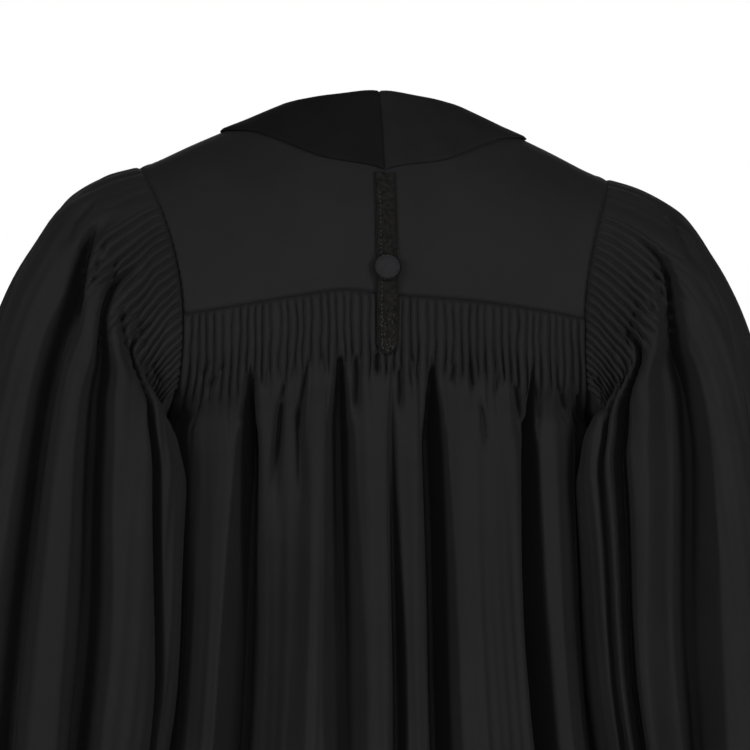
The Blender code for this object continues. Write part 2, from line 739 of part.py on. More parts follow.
def panel_rows(seam, fine, raised, rows, fluted_rows, inside_rows, side, table):
    """Outer and inner rows of a gathered panel, for wall_mesh.

    The gathered rows have a column on each ridge and in each valley, raised over a plain inside.
    The rows below follow the long folds.
    """
    count = len(rows)
    fine_share = np.repeat(fine[None, :], count, axis=0)
    if side > 0:
        fold_share = np.array([fold_columns(table, fall) for fall in rows])
    else:
        fold_share = np.array([np.append(fine[:2], fold_columns(table[1:], fall)) for fall in rows])
    fine_base, fine_folded, fine_facing = panel_form(seam, fine_share, rows, side, table)
    base, folded, facing = panel_form(seam, fold_share, rows, side, table)
    fade = 1.0 - ease((rows - FLUTE_END) / FLUTE_FADE)
    outer = fine_folded + fine_facing * (fade[:, None] * raised)[..., None]
    fine_inside = panel_inside(fine_base, fine_folded, fine_facing, side)
    inside = panel_inside(base, folded, facing, side)
    outside_rows = [(row, fine, outer[row]) for row in range(fluted_rows)]
    outside_rows += [(row, fold_share[row], folded[row]) for row in range(fluted_rows, count)]
    hidden_rows = [(0, fine[::2], fine_inside[0, ::2])]
    hidden_rows += [(row, fold_share[row], inside[row]) for row in inside_rows]
    return outside_rows, hidden_rows, base


def make_back(yoke, collection):
    """The back: about fifty flutes under the yoke seam, which open into long folds."""
    spans = dict(YOKE_SPANS)
    corner = spans["front seam"] + spans["armhole front"] + spans["armhole back"]
    seam = yoke[-1, corner:yoke.shape[1] - corner]
    rows = np.append(BACK_ROWS, HEM_DROP + seam[-1, 2])
    fine = np.linspace(-1.0, 1.0, 2 * BACK_FLUTES + 1)
    raised = (np.arange(len(fine)) % 2) * FLUTE_HEIGHT
    outside, inside, base = panel_rows(
        seam, fine, raised, rows, BACK_FLUTED_ROWS, BACK_INSIDE_ROWS, 1, BACK_FOLDS)
    add_piece("back", wall_mesh("back", outside, inside), CLOTH, collection)
    middle = np.zeros(len(rows))
    heights = base[:, base.shape[1] // 2, 2]
    return np.stack([middle, body_depth(middle, heights, 1), heights], axis=-1)


def make_front(name, mirror, table, yoke, collection):
    """A front: soft gathers under the yoke seam, then long folds; flat beside the closure."""
    seam = yoke[-1, ::-1][:dict(YOKE_SPANS)["front seam"] + 1]
    rows = np.append(FRONT_ROWS, HEM_DROP + seam[-1, 2])
    first = BAND_SPAN / seam[-1, 0]
    fine = np.append(0.0, np.linspace(first, 1.0, 2 * FRONT_GATHERS + 1))
    raised = np.zeros(len(fine))
    raised[2::2] = FRONT_GATHER_HEIGHT
    outside, inside, base = panel_rows(
        seam, fine, raised, rows, FRONT_GATHERED_ROWS, FRONT_INSIDE_ROWS, -1, table)
    for row in outside + inside:
        row[2][:, 0] *= mirror
    add_piece(name, wall_mesh(name, outside, inside), CLOTH, collection)
    return base[:, 0]


# Sleeves


def ring_value(ring, name):
    """A measure of the sleeve's loop at a ring number."""
    return flow(ring, column(RINGS, RING_COLUMNS, "ring"), column(RINGS, RING_COLUMNS, name))


def loop_point(ring, angle):
    """Point of the plain sleeve loop, whose inner corners hug the body behind and in front."""
    outer = np.stack([ring_value(ring, "outer_x"), ring_value(ring, "outer_z")], axis=-1)
    inner = np.stack([ring_value(ring, "inner_x"), ring_value(ring, "inner_z")], axis=-1)
    middle = (outer + inner) / 2.0
    reach = (outer - inner) / 2.0
    across = middle + reach * np.cos(angle)[..., None]
    depth = np.where(np.sin(angle) >= 0.0, ring_value(ring, "back"), ring_value(ring, "front"))
    y = depth * np.sin(angle)
    corner = 2.0 * np.maximum(-np.cos(angle), 0.0) * np.abs(np.sin(angle))
    nearest = np.minimum(across[..., 0], body_width(y, across[..., 1]) + HUG_CLEAR)
    x = np.maximum(across[..., 0] - ring_value(ring, "hug") * corner, nearest)
    return np.stack([x, y, across[..., 1]], axis=-1)


def twist(ring, angle):
    """How far the cloth turns down behind and in front on its way from the armhole."""
    return SLEEVE_TWIST * np.sin(angle) * np.sqrt(np.abs(np.sin(angle))) * ease(ring / TWIST_RINGS)


def sleeve_form(ring, angle, turned, table):
    """The left sleeve from the armhole seam down: folded points and outward directions."""
    start = armhole(angle) - loop_point(np.zeros_like(ring), angle)
    blend = 1.0 - ease(ring / ARMHOLE_BLEND_RINGS)
    base = loop_point(ring, turned) + start * blend[..., None]
    base[..., 0] += SEAM_GAP * (1.0 - ease(ring / GAP_RINGS))
    outward = normals(base, ring=True)
    folded = base + outward * sleeve_fold_heights(ring, turned, table)[..., None]
    facing = normals(folded, ring=True)
    facing[0] = seam_clear(facing[0], 0, 1)
    return folded, facing


def sleeve_fold_places(ring, table):
    """Angles in degrees of the fold table's rows at a ring."""
    head = column(table, SLEEVE_FOLD_COLUMNS, "head")
    middle = column(table, SLEEVE_FOLD_COLUMNS, "shoulder")
    cuff = column(table, SLEEVE_FOLD_COLUMNS, "cuff")
    upper = ease((ring - HEAD_RING) / (SHOULDER_RING - HEAD_RING))
    lower = ease((ring - SHOULDER_RING) / (RINGS[-1][0] - SHOULDER_RING))
    return head + (middle - head) * upper + (cuff - middle) * lower


def sleeve_fold_heights(ring, angle, table):
    """Height of the sleeve's folds at rings and angles."""
    height = column(table, SLEEVE_FOLD_COLUMNS, "height") / 1000.0
    result = np.zeros_like(angle)
    for row in range(ring.shape[0]):
        at = sleeve_fold_places(ring[row, 0], table)
        around = np.concatenate([at - 360.0, at, at + 360.0])
        degrees = (np.degrees(angle[row]) + 180.0) % 360.0 - 180.0
        result[row] = flow(degrees, around, np.tile(height, 3))
    grown = ease((ring - SLEEVE_FOLD_START) / (SLEEVE_FOLD_FULL - SLEEVE_FOLD_START))
    under = UNDER_SHARE + (1.0 - UNDER_SHARE) * ease((1.0 + np.cos(angle)) / UNDER_REACH)
    return result * grown * under


def sleeve_columns():
    """Angles round the armhole: gathers at the head, flutes behind and in front, plain under."""
    gathers = np.linspace(0.0, SLEEVE_FLUTE_START, 2 * SLEEVE_HEAD_GATHERS + 1)[:-1]
    flutes = np.linspace(SLEEVE_FLUTE_START, SLEEVE_FLUTE_END, 2 * SLEEVE_FLUTES + 1)[:-1]
    under = np.linspace(SLEEVE_FLUTE_END, 180.0, SLEEVE_UNDER_SPANS + 1)[:-1]
    half = np.concatenate([gathers, flutes, under])
    return np.radians(np.concatenate([half, [180.0], 360.0 - half[:0:-1]]))


def sleeve_fold_columns(ring, table):
    """Angles round the sleeve that follow its folds, starting near its outer side."""
    at = sleeve_fold_places(ring, table)
    first = int(np.argmax(at > 0.0))
    around = np.concatenate([at[first:], at[:first] + 360.0, [at[first] + 360.0]])
    steps = np.arange(len(at) * FOLD_SPANS + 1) / FOLD_SPANS
    return np.radians(np.interp(steps, np.arange(len(around)), around))


def flute_raise(angle):
    """How far the gathers and flutes stand out round the armhole."""
    degrees = np.degrees(np.where(angle > math.pi, 2.0 * math.pi - angle, angle))
    risen = ease((degrees - SLEEVE_FLUTE_START / 2.0) / (SLEEVE_FLUTE_START / 2.0))
    head = HEAD_GATHER_SHARE + (1.0 - HEAD_GATHER_SHARE) * risen
    under = 1.0 - ease((degrees - SLEEVE_FLUTE_END) / FLUTE_STOP + 0.5)
    return (np.arange(len(angle)) % 2) * FLUTE_HEIGHT * head * under


def make_sleeve(name, mirror, table, collection):
    """A bell sleeve: fluted round the armhole, then long folds down to an open cuff."""
    rings = np.array(SLEEVE_ROWS)
    angles = sleeve_columns()
    ring, angle = np.meshgrid(rings, angles, indexing="ij")
    fine_turned = angle + twist(ring, angle)
    fine_folded, fine_facing = sleeve_form(ring, angle, fine_turned, table)
    fade = 1.0 - ease((rings - SLEEVE_FLUTE_RINGS) / SLEEVE_FLUTE_FADE)
    outer = fine_folded + fine_facing * (fade[:, None] * flute_raise(angles))[..., None]
    closed = np.array([sleeve_fold_columns(number, table) for number in rings])
    turned = closed[:, :-1]
    wide_ring = np.repeat(rings[:, None], turned.shape[1], axis=1)
    untwisted = turned.copy()
    for _ in range(UNTWIST_STEPS):
        untwisted = turned - twist(wide_ring, untwisted)
    folded, facing = sleeve_form(wide_ring, untwisted, turned, table)
    inside = folded - facing * WALL
    rim = fine_folded[0] + seam_clear(-fine_facing[0] * WALL, 0, 1)
    fine_places = np.append(fine_turned, fine_turned[:, :1] + 2.0 * math.pi, axis=1)
    outside_rows = [(row, fine_places[row], outer[row]) for row in range(SLEEVE_FLUTED_ROWS)]
    outside_rows += [(row, closed[row], folded[row]) for row in range(SLEEVE_FLUTED_ROWS, len(rings))]
    inside_rows = [(0, fine_places[0, ::2], rim[::2])]
    inside_rows += [(row, closed[row], inside[row]) for row in SLEEVE_INSIDE_ROWS]
    for row in outside_rows + inside_rows:
        row[2][:, 0] *= mirror
    add_piece(name, wall_mesh(name, outside_rows, inside_rows, ring=True), CLOTH, collection)


# Band, braid and button


def laid_strip(name, backing, half, wall, lift, finish, collection, tips=None):
    """A strip laid on the middle of a panel: rows of points moved out from the backing."""
    rows = []
    for row, (middle, outward) in enumerate(backing):
        width = half if tips is None else half * tips[row]
        line = [middle + np.array([offset * width, 0.0, 0.0]) for offset in (-1.0, 0.0, 1.0)]
        rows.append([point + outward * lift[row] for point in line])
    under = np.array(rows)
    outward = np.array([[direction] * 3 for _, direction in backing])
    over = under + outward * wall
    add_piece(name, wall_mesh(name, numbered(over), numbered(under)), finish, collection)
    return over


def make_band(front, collection):
    """The flat band over the closure, from the yoke seam down."""
    rows = front[:BAND_END_ROW + 1].copy()
    rows[:, 0] = 0.0
    tangent = np.gradient(rows, axis=0)
    outward = np.stack([np.zeros(len(rows)), tangent[:, 2], -tangent[:, 1]], axis=-1)
    outward /= np.linalg.norm(outward, axis=-1, keepdims=True)
    backing = list(zip(rows, outward))
    lift = [LAID_GAP] * len(rows)
    laid_strip("front_placket", backing, BAND_HALF, BAND_WALL, lift, CLOTH, collection)


def make_braid(yoke, back, collection):
    """The braid down the centre back, over the yoke seam, with a pointed lower end."""
    middle = yoke.shape[1] // 2
    line = np.concatenate([yoke[1:, middle], back[1:]])
    heights = line[:, 2]
    stops = [z for z in heights if BRAID_END + BRAID_POINT < z < BRAID_TOP - BRAID_POINT / 2.0]
    stops = sorted(set([BRAID_TOP] + stops + [BRAID_END + BRAID_POINT, BRAID_END]), reverse=True)
    stops = np.array(stops)
    depth = np.interp(-stops, -heights, line[:, 1])
    points = np.stack([np.zeros_like(stops), depth, stops], axis=-1)
    tangent = np.gradient(points, axis=0)
    outward = np.stack([np.zeros(len(stops)), -tangent[:, 2], tangent[:, 1]], axis=-1)
    outward /= np.linalg.norm(outward, axis=-1, keepdims=True)
    risen = ease((BRAID_RISE[0] - stops) / (BRAID_RISE[0] - BRAID_RISE[1]))
    lift = LAID_GAP + BRAID_LIFT * risen
    tips = [1.0] * (len(stops) - 1) + [BRAID_TIP_SHARE]
    backing = list(zip(points, outward))
    over = laid_strip("back_braid", backing, BRAID_HALF, BRAID_WALL, lift, BRAID, collection, tips)
    return over[:, 1]


def make_button(braid_line, collection):
    """The covered button: a shallow dome turned about the line that leaves the back."""
    depth = float(np.interp(-BUTTON_Z, -braid_line[:, 2], braid_line[:, 1]))
    above = float(np.interp(-BUTTON_Z - BUTTON_RADIUS, -braid_line[:, 2], braid_line[:, 1]))
    below = float(np.interp(-BUTTON_Z + BUTTON_RADIUS, -braid_line[:, 2], braid_line[:, 1]))
    tilt = math.atan2(below - above, 2.0 * BUTTON_RADIUS)
    profile = [(0.0, 0.0, BUTTON_HEIGHT)]
    for k in range(1, BUTTON_TIP + 1):
        turn = math.pi / 2.0 * k / BUTTON_TIP
        height = BUTTON_RIM + (BUTTON_HEIGHT - BUTTON_RIM) * math.cos(turn)
        profile.append((BUTTON_RADIUS * math.sin(turn), 0.0, height))
    profile.append((BUTTON_FOOT, 0.0, 0.0))
    profile.append((0.0, 0.0, 0.0))
    data = bpy.data.meshes.new("back_button")
    data.from_pydata(profile, [(k, k + 1) for k in range(len(profile) - 1)], [])
    button = add_piece("back_button", data, BUTTON, collection)
    screw = button.modifiers.new("turned", "SCREW")
    screw.axis = "Z"
    screw.steps = 20
    screw.render_steps = 20
    screw.use_merge_vertices = True
    screw.merge_threshold = 0.00001
    button.rotation_euler = (math.radians(-90.0) + tilt, 0.0, 0.0)
    button.location = (0.0, depth + 2.0 * LAID_GAP, BUTTON_Z)


def main():
    for thing in list(bpy.data.objects):
        bpy.data.objects.remove(thing, do_unlink=True)
    robe = bpy.data.collections.new("clergy robe")
    bpy.context.scene.collection.children.link(robe)
    yoke = make_yoke(robe)
    make_collar("collar_left", 1, robe)
    make_collar("collar_right", -1, robe)
    back = make_back(yoke, robe)
    front = make_front("front_left", 1, FRONT_LEFT_FOLDS, yoke, robe)
    make_front("front_right", -1, FRONT_RIGHT_FOLDS, yoke, robe)
    make_sleeve("sleeve_left", 1, LEFT_SLEEVE_FOLDS, robe)
    make_sleeve("sleeve_right", -1, RIGHT_SLEEVE_FOLDS, robe)
    make_band(front, robe)
    make_button(make_braid(yoke, back, robe), robe)


main()
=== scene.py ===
"""Looks of the clergy robe: fine cloth on the forms of its solids, materials, camera and lights.

Metres, +Z up. The front faces -Y, the wearer's left is +X, and the camera stands behind the robe.
"""

import math

import bmesh
import bpy
import numpy as np
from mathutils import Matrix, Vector


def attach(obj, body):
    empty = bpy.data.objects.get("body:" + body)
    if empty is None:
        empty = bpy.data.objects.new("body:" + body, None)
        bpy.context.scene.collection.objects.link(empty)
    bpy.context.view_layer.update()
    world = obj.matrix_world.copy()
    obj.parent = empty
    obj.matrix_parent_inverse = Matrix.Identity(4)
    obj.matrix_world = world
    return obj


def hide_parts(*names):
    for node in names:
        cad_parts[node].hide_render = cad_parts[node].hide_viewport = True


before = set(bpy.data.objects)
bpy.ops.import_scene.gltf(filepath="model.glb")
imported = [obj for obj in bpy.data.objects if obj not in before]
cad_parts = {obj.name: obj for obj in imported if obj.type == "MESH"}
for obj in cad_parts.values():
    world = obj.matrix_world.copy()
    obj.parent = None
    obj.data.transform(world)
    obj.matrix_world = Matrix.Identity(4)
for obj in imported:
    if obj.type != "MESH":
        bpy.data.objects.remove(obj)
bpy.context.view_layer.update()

X_AXIS = np.array([1.0, 0.0, 0.0])
Y_AXIS = np.array([0.0, 1.0, 0.0])

# Form of the robe: the same sizes as its solids
CLOTH_WALL = 0.0012
SEAM_GAP = 0.00015
LAID_GAP = 0.0005
ALLOWANCE_WIDTH = 0.0035
ALLOWANCE_DROP = 0.0020
ALLOWANCE_TILT = 0.0005
RIDGE_TOP = 0.055
RIDGE_SLOPE = 0.47
RIDGE_ROUND = 0.03
BLADE_LEVEL = -0.200
SHOULDER_REACH = 0.330
SHOULDER_BACK = 0.118
SHOULDER_FRONT = 0.125
GIRTH_SQUARENESS = 2.3
BACK_TURN = 2.2
FRONT_TURN = 1.8
LEAN = 0.020
LEAN_END = 0.35
ARMHOLE_X = 0.222
ARMHOLE_SPREAD = 0.012
ARMHOLE_BOW = 0.024
UNDERARM_DROP = 0.290
ARMHOLE_TOP_X = ARMHOLE_X + ARMHOLE_SPREAD
ARMHOLE_TOP_Z = RIDGE_TOP - RIDGE_SLOPE * (math.hypot(ARMHOLE_TOP_X, RIDGE_ROUND) - RIDGE_ROUND)
ARMHOLE_Z = (ARMHOLE_TOP_Z - UNDERARM_DROP) / 2.0
ARMHOLE_HALF = (ARMHOLE_TOP_Z + UNDERARM_DROP) / 2.0
HEM_DROP = 1.340

GIRTH_COLUMNS = ("drop", "half_width", "back", "front")
GIRTHS = (
    (0.2, 0.33, 0.118, 0.125),
    (0.245, 0.276, 0.118, 0.126),
    (0.29, 0.21, 0.118, 0.126),
    (0.36, 0.209, 0.124, 0.13),
    (0.45, 0.209, 0.133, 0.138),
    (0.56, 0.213, 0.146, 0.149),
    (0.66, 0.224, 0.161, 0.163),
    (0.8, 0.258, 0.185, 0.186),
    (1, 0.308, 0.222, 0.22),
    (1.34, 0.385, 0.29, 0.28),
)

NECK_COLUMNS = ("station", "side", "edge_x", "edge_z", "neck_x", "neck_z", "fall_x", "fall_z")
NECK_STATIONS = (
    (0, -1, 0, -0.13, 0, -0.168, 0, -0.2),
    (1, -1, 0.045, -0.07, 0.057, -0.096, 0.072, -0.128),
    (2, -1, 0.08, -0.005, 0.096, -0.025, 0.125, -0.06),
    (3, 1, 0.09, 0.024, 0.108, 0.015, 0.153, -0.0045),
    (4, 1, 0.075, 0.028, 0.088, 0.008, 0.118, -0.008),
    (5, 1, 0.038, 0.0335, 0.045, -0.01, 0.056, -0.032),
    (6, 1, 0, 0.0365, 0, -0.02, 0, -0.043),
)
SHOULDER_STATION = 3.0

BACK_SEAM_COLUMNS = ("x", "z")
BACK_SEAM = (
    (-0.193, -0.185),
    (-0.15, -0.1775),
    (-0.08, -0.169),
    (0, -0.164),
    (0.04, -0.16),
    (0.08, -0.1655),
    (0.15, -0.1775),
    (0.193, -0.185),
)
BACK_SEAM_LEVEL = -0.172
BACK_CORNER = math.radians(99.0)
FRONT_SEAM_CENTRE = -0.232
FRONT_CORNER = math.radians(76.0)

# Long folds: share of the half girth at the top and below, height in millimetres at the top and
# below, and half the width of a valley as a share of the half girth
FOLD_COLUMNS = ("top", "low", "top_height", "low_height", "half")
BACK_FOLDS = (
    (-1, -1, 0, 0, 0),
    (-0.92, -0.93, 4, 4, 0),
    (-0.82, -0.86, -12, -20, 0.035),
    (-0.675, -0.665, 9, 9, 0),
    (-0.545, -0.538, -54, -58, 0.058),
    (-0.44, -0.43, 9, 9, 0),
    (-0.27, -0.26, 9, 10, 0),
    (-0.168, -0.18, -56, -58, 0.058),
    (-0.098, -0.083, 8, 2, 0),
    (-0.02, -0.022, -1, -28, 0.032),
    (0.045, 0.025, 9, 10, 0),
    (0.17, 0.15, -36, -26, 0.07),
    (0.27, 0.272, 10, 11, 0),
    (0.345, 0.345, 2, -14, 0),
    (0.43, 0.43, 8, -32, 0),
    (0.505, 0.525, -52, -56, 0.068),
    (0.62, 0.62, 11, 10, 0),
    (0.74, 0.74, 15, 14, 0),
    (0.87, 0.87, 0, -4, 0),
    (1, 1, 0, 0, 0),
)
FRONT_LEFT_FOLDS = (
    (0, 0, 0, 0, 0),
    (0.13, 0.13, 0, 0, 0),
    (0.21, 0.2, 9, 9, 0),
    (0.29, 0.29, -34, -34, 0.055),
    (0.38, 0.4, 10, 10, 0),
    (0.49, 0.51, -38, -38, 0.055),
    (0.6, 0.62, 10, 10, 0),
    (0.72, 0.73, -32, -32, 0.05),
    (0.85, 0.85, 7, 7, 0),
    (1, 1, 0, 0, 0),
)
FRONT_RIGHT_FOLDS = (
    (0, 0, 0, 0, 0),
    (0.13, 0.13, 0, 0, 0),
    (0.22, 0.215, 10, 10, 0),
    (0.32, 0.33, -36, -36, 0.055),
    (0.43, 0.45, 9, 9, 0),
    (0.52, 0.54, -30, -30, 0.05),
    (0.64, 0.66, 11, 11, 0),
    (0.76, 0.78, -34, -34, 0.05),
    (0.88, 0.88, 6, 6, 0),
    (1, 1, 0, 0, 0),
)
SEAM_SHARE_COLUMNS = ("below", "seam")
SEAM_SHARES = (
    (0, 0),
    (0.6, 0.79),
    (0.76, 0.91),
    (0.9, 0.97),
    (1, 1),
)
OPENING_LENGTH = 0.13
FOLD_START = 0.046
FOLD_GROWTH = 0.090
FRONT_FOLD_GROWTH = 0.200
FOLD_HEM_GAIN = 1.15
SETTLE_START = 0.10
SETTLE_LENGTH = 0.25

# Sleeve rings: outer and inner ends of the loop, its depth behind and in front, and how far its
# inner corners hug the body
RING_COLUMNS = ("ring", "outer_x", "outer_z", "inner_x", "inner_z", "back", "front", "hug")
RINGS = (
    (0, 0.234, -0.041, 0.21, -0.29, 0.1, 0.1, 0),
    (1, 0.262, -0.049, 0.215, -0.294, 0.11, 0.11, 0),
    (2, 0.292, -0.0635, 0.218, -0.299, 0.117, 0.116, 0),
    (3, 0.318, -0.0835, 0.22, -0.308, 0.121, 0.119, 0.012),
    (4, 0.34, -0.115, 0.222, -0.322, 0.123, 0.121, 0.026),
    (5, 0.36, -0.15, 0.2245, -0.344, 0.125, 0.123, 0.036),
    (6, 0.377, -0.193, 0.227, -0.376, 0.127, 0.125, 0.044),
    (7, 0.397, -0.268, 0.2295, -0.43, 0.13, 0.128, 0.045),
    (8, 0.413, -0.358, 0.23, -0.49, 0.134, 0.132, 0.045),
    (9, 0.426, -0.458, 0.2315, -0.55, 0.138, 0.136, 0.044),
    (10, 0.438, -0.568, 0.236, -0.611, 0.143, 0.141, 0.04),
    (11, 0.446, -0.66, 0.245, -0.66, 0.148, 0.146, 0.036),
)
ARMHOLE_BLEND_RINGS = 3.0
HUG_CLEAR = 0.014

# Folds of the sleeves: degrees round the sleeve at its head, shoulder and cuff, millimetres of
# height, and half the width of a valley in degrees
SLEEVE_FOLD_COLUMNS = ("head", "shoulder", "cuff", "height", "half")
LEFT_SLEEVE_FOLDS = (
    (-160, -170, -172, 2, 0),
    (-100, -140, -150, -20, 9),
    (-84, -112, -124, 9, 0),
    (-66, -88, -102, -36, 9),
    (-50, -68, -80, 9, 0),
    (-34, -48, -54, -34, 10),
    (-16, -20, -22, 2, 0),
    (4, 8, 18, -20, 9),
    (16, 26, 38, 4, 0),
    (26, 42, 54, 8, 0),
    (47, 70, 73, -36, 12),
    (58, 85, 97, 9, 0),
    (75, 96, 104.5, -38, 7),
    (84, 107, 116, 10, 0),
    (90, 113, 124, 10, 0),
    (100, 119, 135, -16, 3),
    (112, 128, 143, 9, 0),
    (160, 172, 178, 0, 0),
)
RIGHT_SLEEVE_FOLDS = (
    (-160, -170, -172, 2, 0),
    (-98, -136, -150, -18, 9),
    (-80, -108, -120, 9, 0),
    (-62, -84, -96, -40, 9),
    (-46, -62, -72, 9, 0),
    (-28, -40, -46, -30, 9),
    (-10, -14, -14, 1, 0),
    (8, 14, 30, -1, 0),
    (24, 44, 66, -18, 7),
    (36, 56, 76, 8, 0),
    (44, 70, 90, 9, 0),
    (57, 88, 103, -46, 7.5),
    (68, 97, 110, -18, 0),
    (84, 106, 118, 10, 0),
    (100, 118, 125, -34, 5.5),
    (110, 123, 126, 8, 0),
    (112, 126.5, 129.5, -4, 2.5),
    (116, 132, 135, 10, 0),
    (155, 170, 178, 0, 0),
)
SLEEVE_FOLD_START = 1.0
SLEEVE_FOLD_FULL = 4.0
HEAD_RING = 1.5
SHOULDER_RING = 4.5
UNDER_SHARE = 0.30
UNDER_REACH = 0.60
UNDER_REACH_BACK = 0.22
SLEEVE_TWIST = math.radians(15.0)
TWIST_RINGS = 2.5
GAP_RINGS = 0.5

# Hollow of the back where the left sleeve's inner fold rests, and slack cloth of the sleeves low
# down by the armhole
DENT_DEPTH = 0.007
DENT_Y = 0.072
DENT_WIDTH = 0.024
DENT_SPAN = (0.280, 0.060, 0.600, 0.060)
PUFF_DEPTH = 0.032
PUFF_ANGLE = math.radians(149.0)
PUFF_WIDTH = math.radians(15.0)
PUFF_RING = 1.7
PUFF_RINGS = 1.3
PUFF_START = 0.6

# Fine gathers: how many, how tall, how long and how uneven
BACK_FLUTES = 50
FRONT_GATHERS = 11
SLEEVE_FLUTES = 22
SLEEVE_FLUTE_START = 46.0
SLEEVE_FLUTE_END = 136.0
SLEEVE_HEAD_GATHERS = 5
FLUTE_POINTS = 8
GATHER_POINTS = 14
HEAD_POINTS = 10
UNDER_POINTS = 36
FLUTE_HEIGHT = 0.0038
GATHER_HEIGHT = 0.0032
HEAD_GATHER_HEIGHT = 0.0018
FLUTE_ROUND = 0.62
FLUTE_UNEVEN = 0.16
FLUTE_LENGTH = 0.052
FLUTE_LENGTH_SPREAD = 0.020
FLUTE_FADE = 0.022
FLUTE_WAVER = 0.09
SLEEVE_FLUTE_RINGS = 2.0
SLEEVE_FLUTE_SPREAD = 0.5
SLEEVE_FLUTE_FADE = 0.8
FLUTE_TALL = (0.75, 1.15)
SIDE_FLUTE_GAIN = 0.012
SIDE_FLUTE_START = 0.35
GATHER_TALL = (0.7, 1.2)
GATHER_LENGTH = 0.045
GATHER_LENGTH_SPREAD = 0.035
GATHER_FADE = 0.040
BAND_FLAT = 0.024
BAND_FLAT_STEPS = 4
BRAID_PRESS = 0.5
BRAID_PRESS_HALF = 0.050
BRAID_PRESS_END = 0.060
VALLEY_LINE_WIDTH = 0.16
VALLEY_LINE_DEPTH = 0.0030
VALLEY_LINE_START = 0.035
VALLEY_LINE_GROWTH = 0.030
VALLEY_LINE_REACH = 0.060
SLEEVE_LINE_DEPTH = 0.0016
HEM_LINE_DEPTH = 0.0005
HEM_LINE_RISE = 0.032
HEM_LINE_WIDTH = 0.003

# Small waves of the cloth and the wavering of its gathers: how many across, how many down, and how
# far they go
PANEL_WAVES = ((9.0, 0.55, 0.0016), (22.0, 1.1, 0.0007))
SLEEVE_WAVES = ((2.2, 0.10, 0.0018), (6.0, 0.20, 0.0007))
BACK_WAVERS = ((5.0, 16.0, 1.0), (14.0, 30.0, 0.5))
FRONT_WAVERS = ((4.0, 14.0, 0.012),)
SLEEVE_WAVERS = ((2.0, 0.8, 1.0), (6.0, 1.4, 0.5))

# Spans below a seam, in metres or in rings: start, growth, end and fade
BACK_WAVER_SPAN = (0.0, 0.02, 0.07, 0.06)
FRONT_WAVER_SPAN = (0.0, 0.02, 0.08, 0.08)
SLEEVE_WAVER_SPAN = (0.0, 0.7, 2.4, 1.5)

# Long folds: how they lean, sway, widen and settle
FOLD_AIM = 0.8
FOLD_SWAY = 0.006
SLEEVE_SWAY = math.radians(0.9)
CROWN_SLOPE = 0.24
VALLEY_FLOOR = 0.20
FLOOR_RISE = 0.08
VALLEY_WIDENING = ((0.06, 0.16), (0.14, 0.72), (0.35, 1.0))
SLEEVE_WIDENING = ((1.0, 0.35), (4.0, 0.80), (8.0, 1.00))
BODY_UNIT = 0.335
SLEEVE_UNIT = 0.0022

# Detail of the meshes
BACK_FINE_ROWS = 30
BACK_FINE_END = 0.092
FRONT_FINE_END = 0.100
LONG_ROW_POWER = 1.25
BACK_LONG_ROWS = 84
SLEEVE_FINE_ROWS = 30
SLEEVE_LONG_ROWS = 66
FRONT_LONG_ROWS = 84
YOKE_SPANS = (("front seam", 40), ("armhole front", 36), ("armhole back", 44), ("back seam", 66))
YOKE_STATIONS = {
    "front seam": (0.0, 1.6),
    "armhole front": (1.6, 3.0),
    "armhole back": (3.0, 4.4),
    "back seam": (4.4, 6.0),
}
YOKE_ROW_COUNT = 34
COLLAR_ROWS = 15
STRIP_POINTS = 240
BUTTON_POINTS = 96
BACK_SEED = 11

# Yoke and collar
WELT = 0.0007
WELT_WIDTH = 0.011
YOKE_EDGE_DIP = 0.0006
YOKE_EDGE_WIDTH = 0.003
YOKE_RIPPLE = 0.0005
COLLAR_WALL = 0.0020
COLLAR_FALL_LIFT = 0.0012
COLLAR_FALL_WIDTH = 0.030
COLLAR_NAP = 0.0003

# Braid, band, button and stitches
BAND_HALF = 0.019
BAND_LENGTH = 0.75
BAND_WALL = 0.0018
BAND_PUFF = 0.0003
BAND_GROOVE = 0.0004
BAND_EDGE = 0.0012
STITCH_COLUMNS = (2, 22)
STITCH_LENGTH = 0.0024
STITCH_GAP = 0.0014
STITCH_RADIUS = 0.00022
STITCH_RISE = (-0.0002, 0.0001, 0.0001, -0.0002)
BRAID_HALF = 0.0093
BRAID_WALL = 0.0016
BRAID_TOP = -0.0446
BRAID_END = -0.2230
BRAID_POINT = 0.010
BRAID_RIB = 3.0
BRAID_RIB_HEIGHT = 0.00028
BRAID_ROUGH = 0.00012
BRAID_SPINE = 0.00040
BRAID_GROOVE = 0.00045
BRAID_EDGE = 0.0011
KNOT_PITCH = 0.0042
KNOT_RADIUS = 0.0010
KNOT_PLACE = 0.60
KNOT_TOP = 0.022
WORN_LENGTH = 0.040
WORN_KNOTS = 26
BRAID_LIFT = 0.0022
BRAID_RISE = (-0.118, -0.158)
BUTTON_RADIUS = 0.0122
BUTTON_HEIGHT = 0.0080
BUTTON_Z = -0.138
BUTTON_PUCKERS = 17.0
BUTTON_PUCKER = 0.00030
BUTTON_SAG = 0.00010
BUTTON_PROFILE = (
    (0.20, 0.985),
    (0.40, 0.93),
    (0.60, 0.82),
    (0.78, 0.66),
    (0.90, 0.50),
    (0.97, 0.38),
    (1.00, 0.26),
    (0.99, 0.15),
    (0.93, 0.05),
    (0.80, 0.00),
)
# Ring of dark thread round the button: a painted shadow where the button's shade falls
SHADOW_RING_RADIUS = 0.0133
SHADOW_RING_LIFT = 0.0011
LOOP_RADIUS = 0.00085
LOOP_PITCH = 0.0027
LOOP_REACH = 0.0010
LOOP_HALF = 0.0013

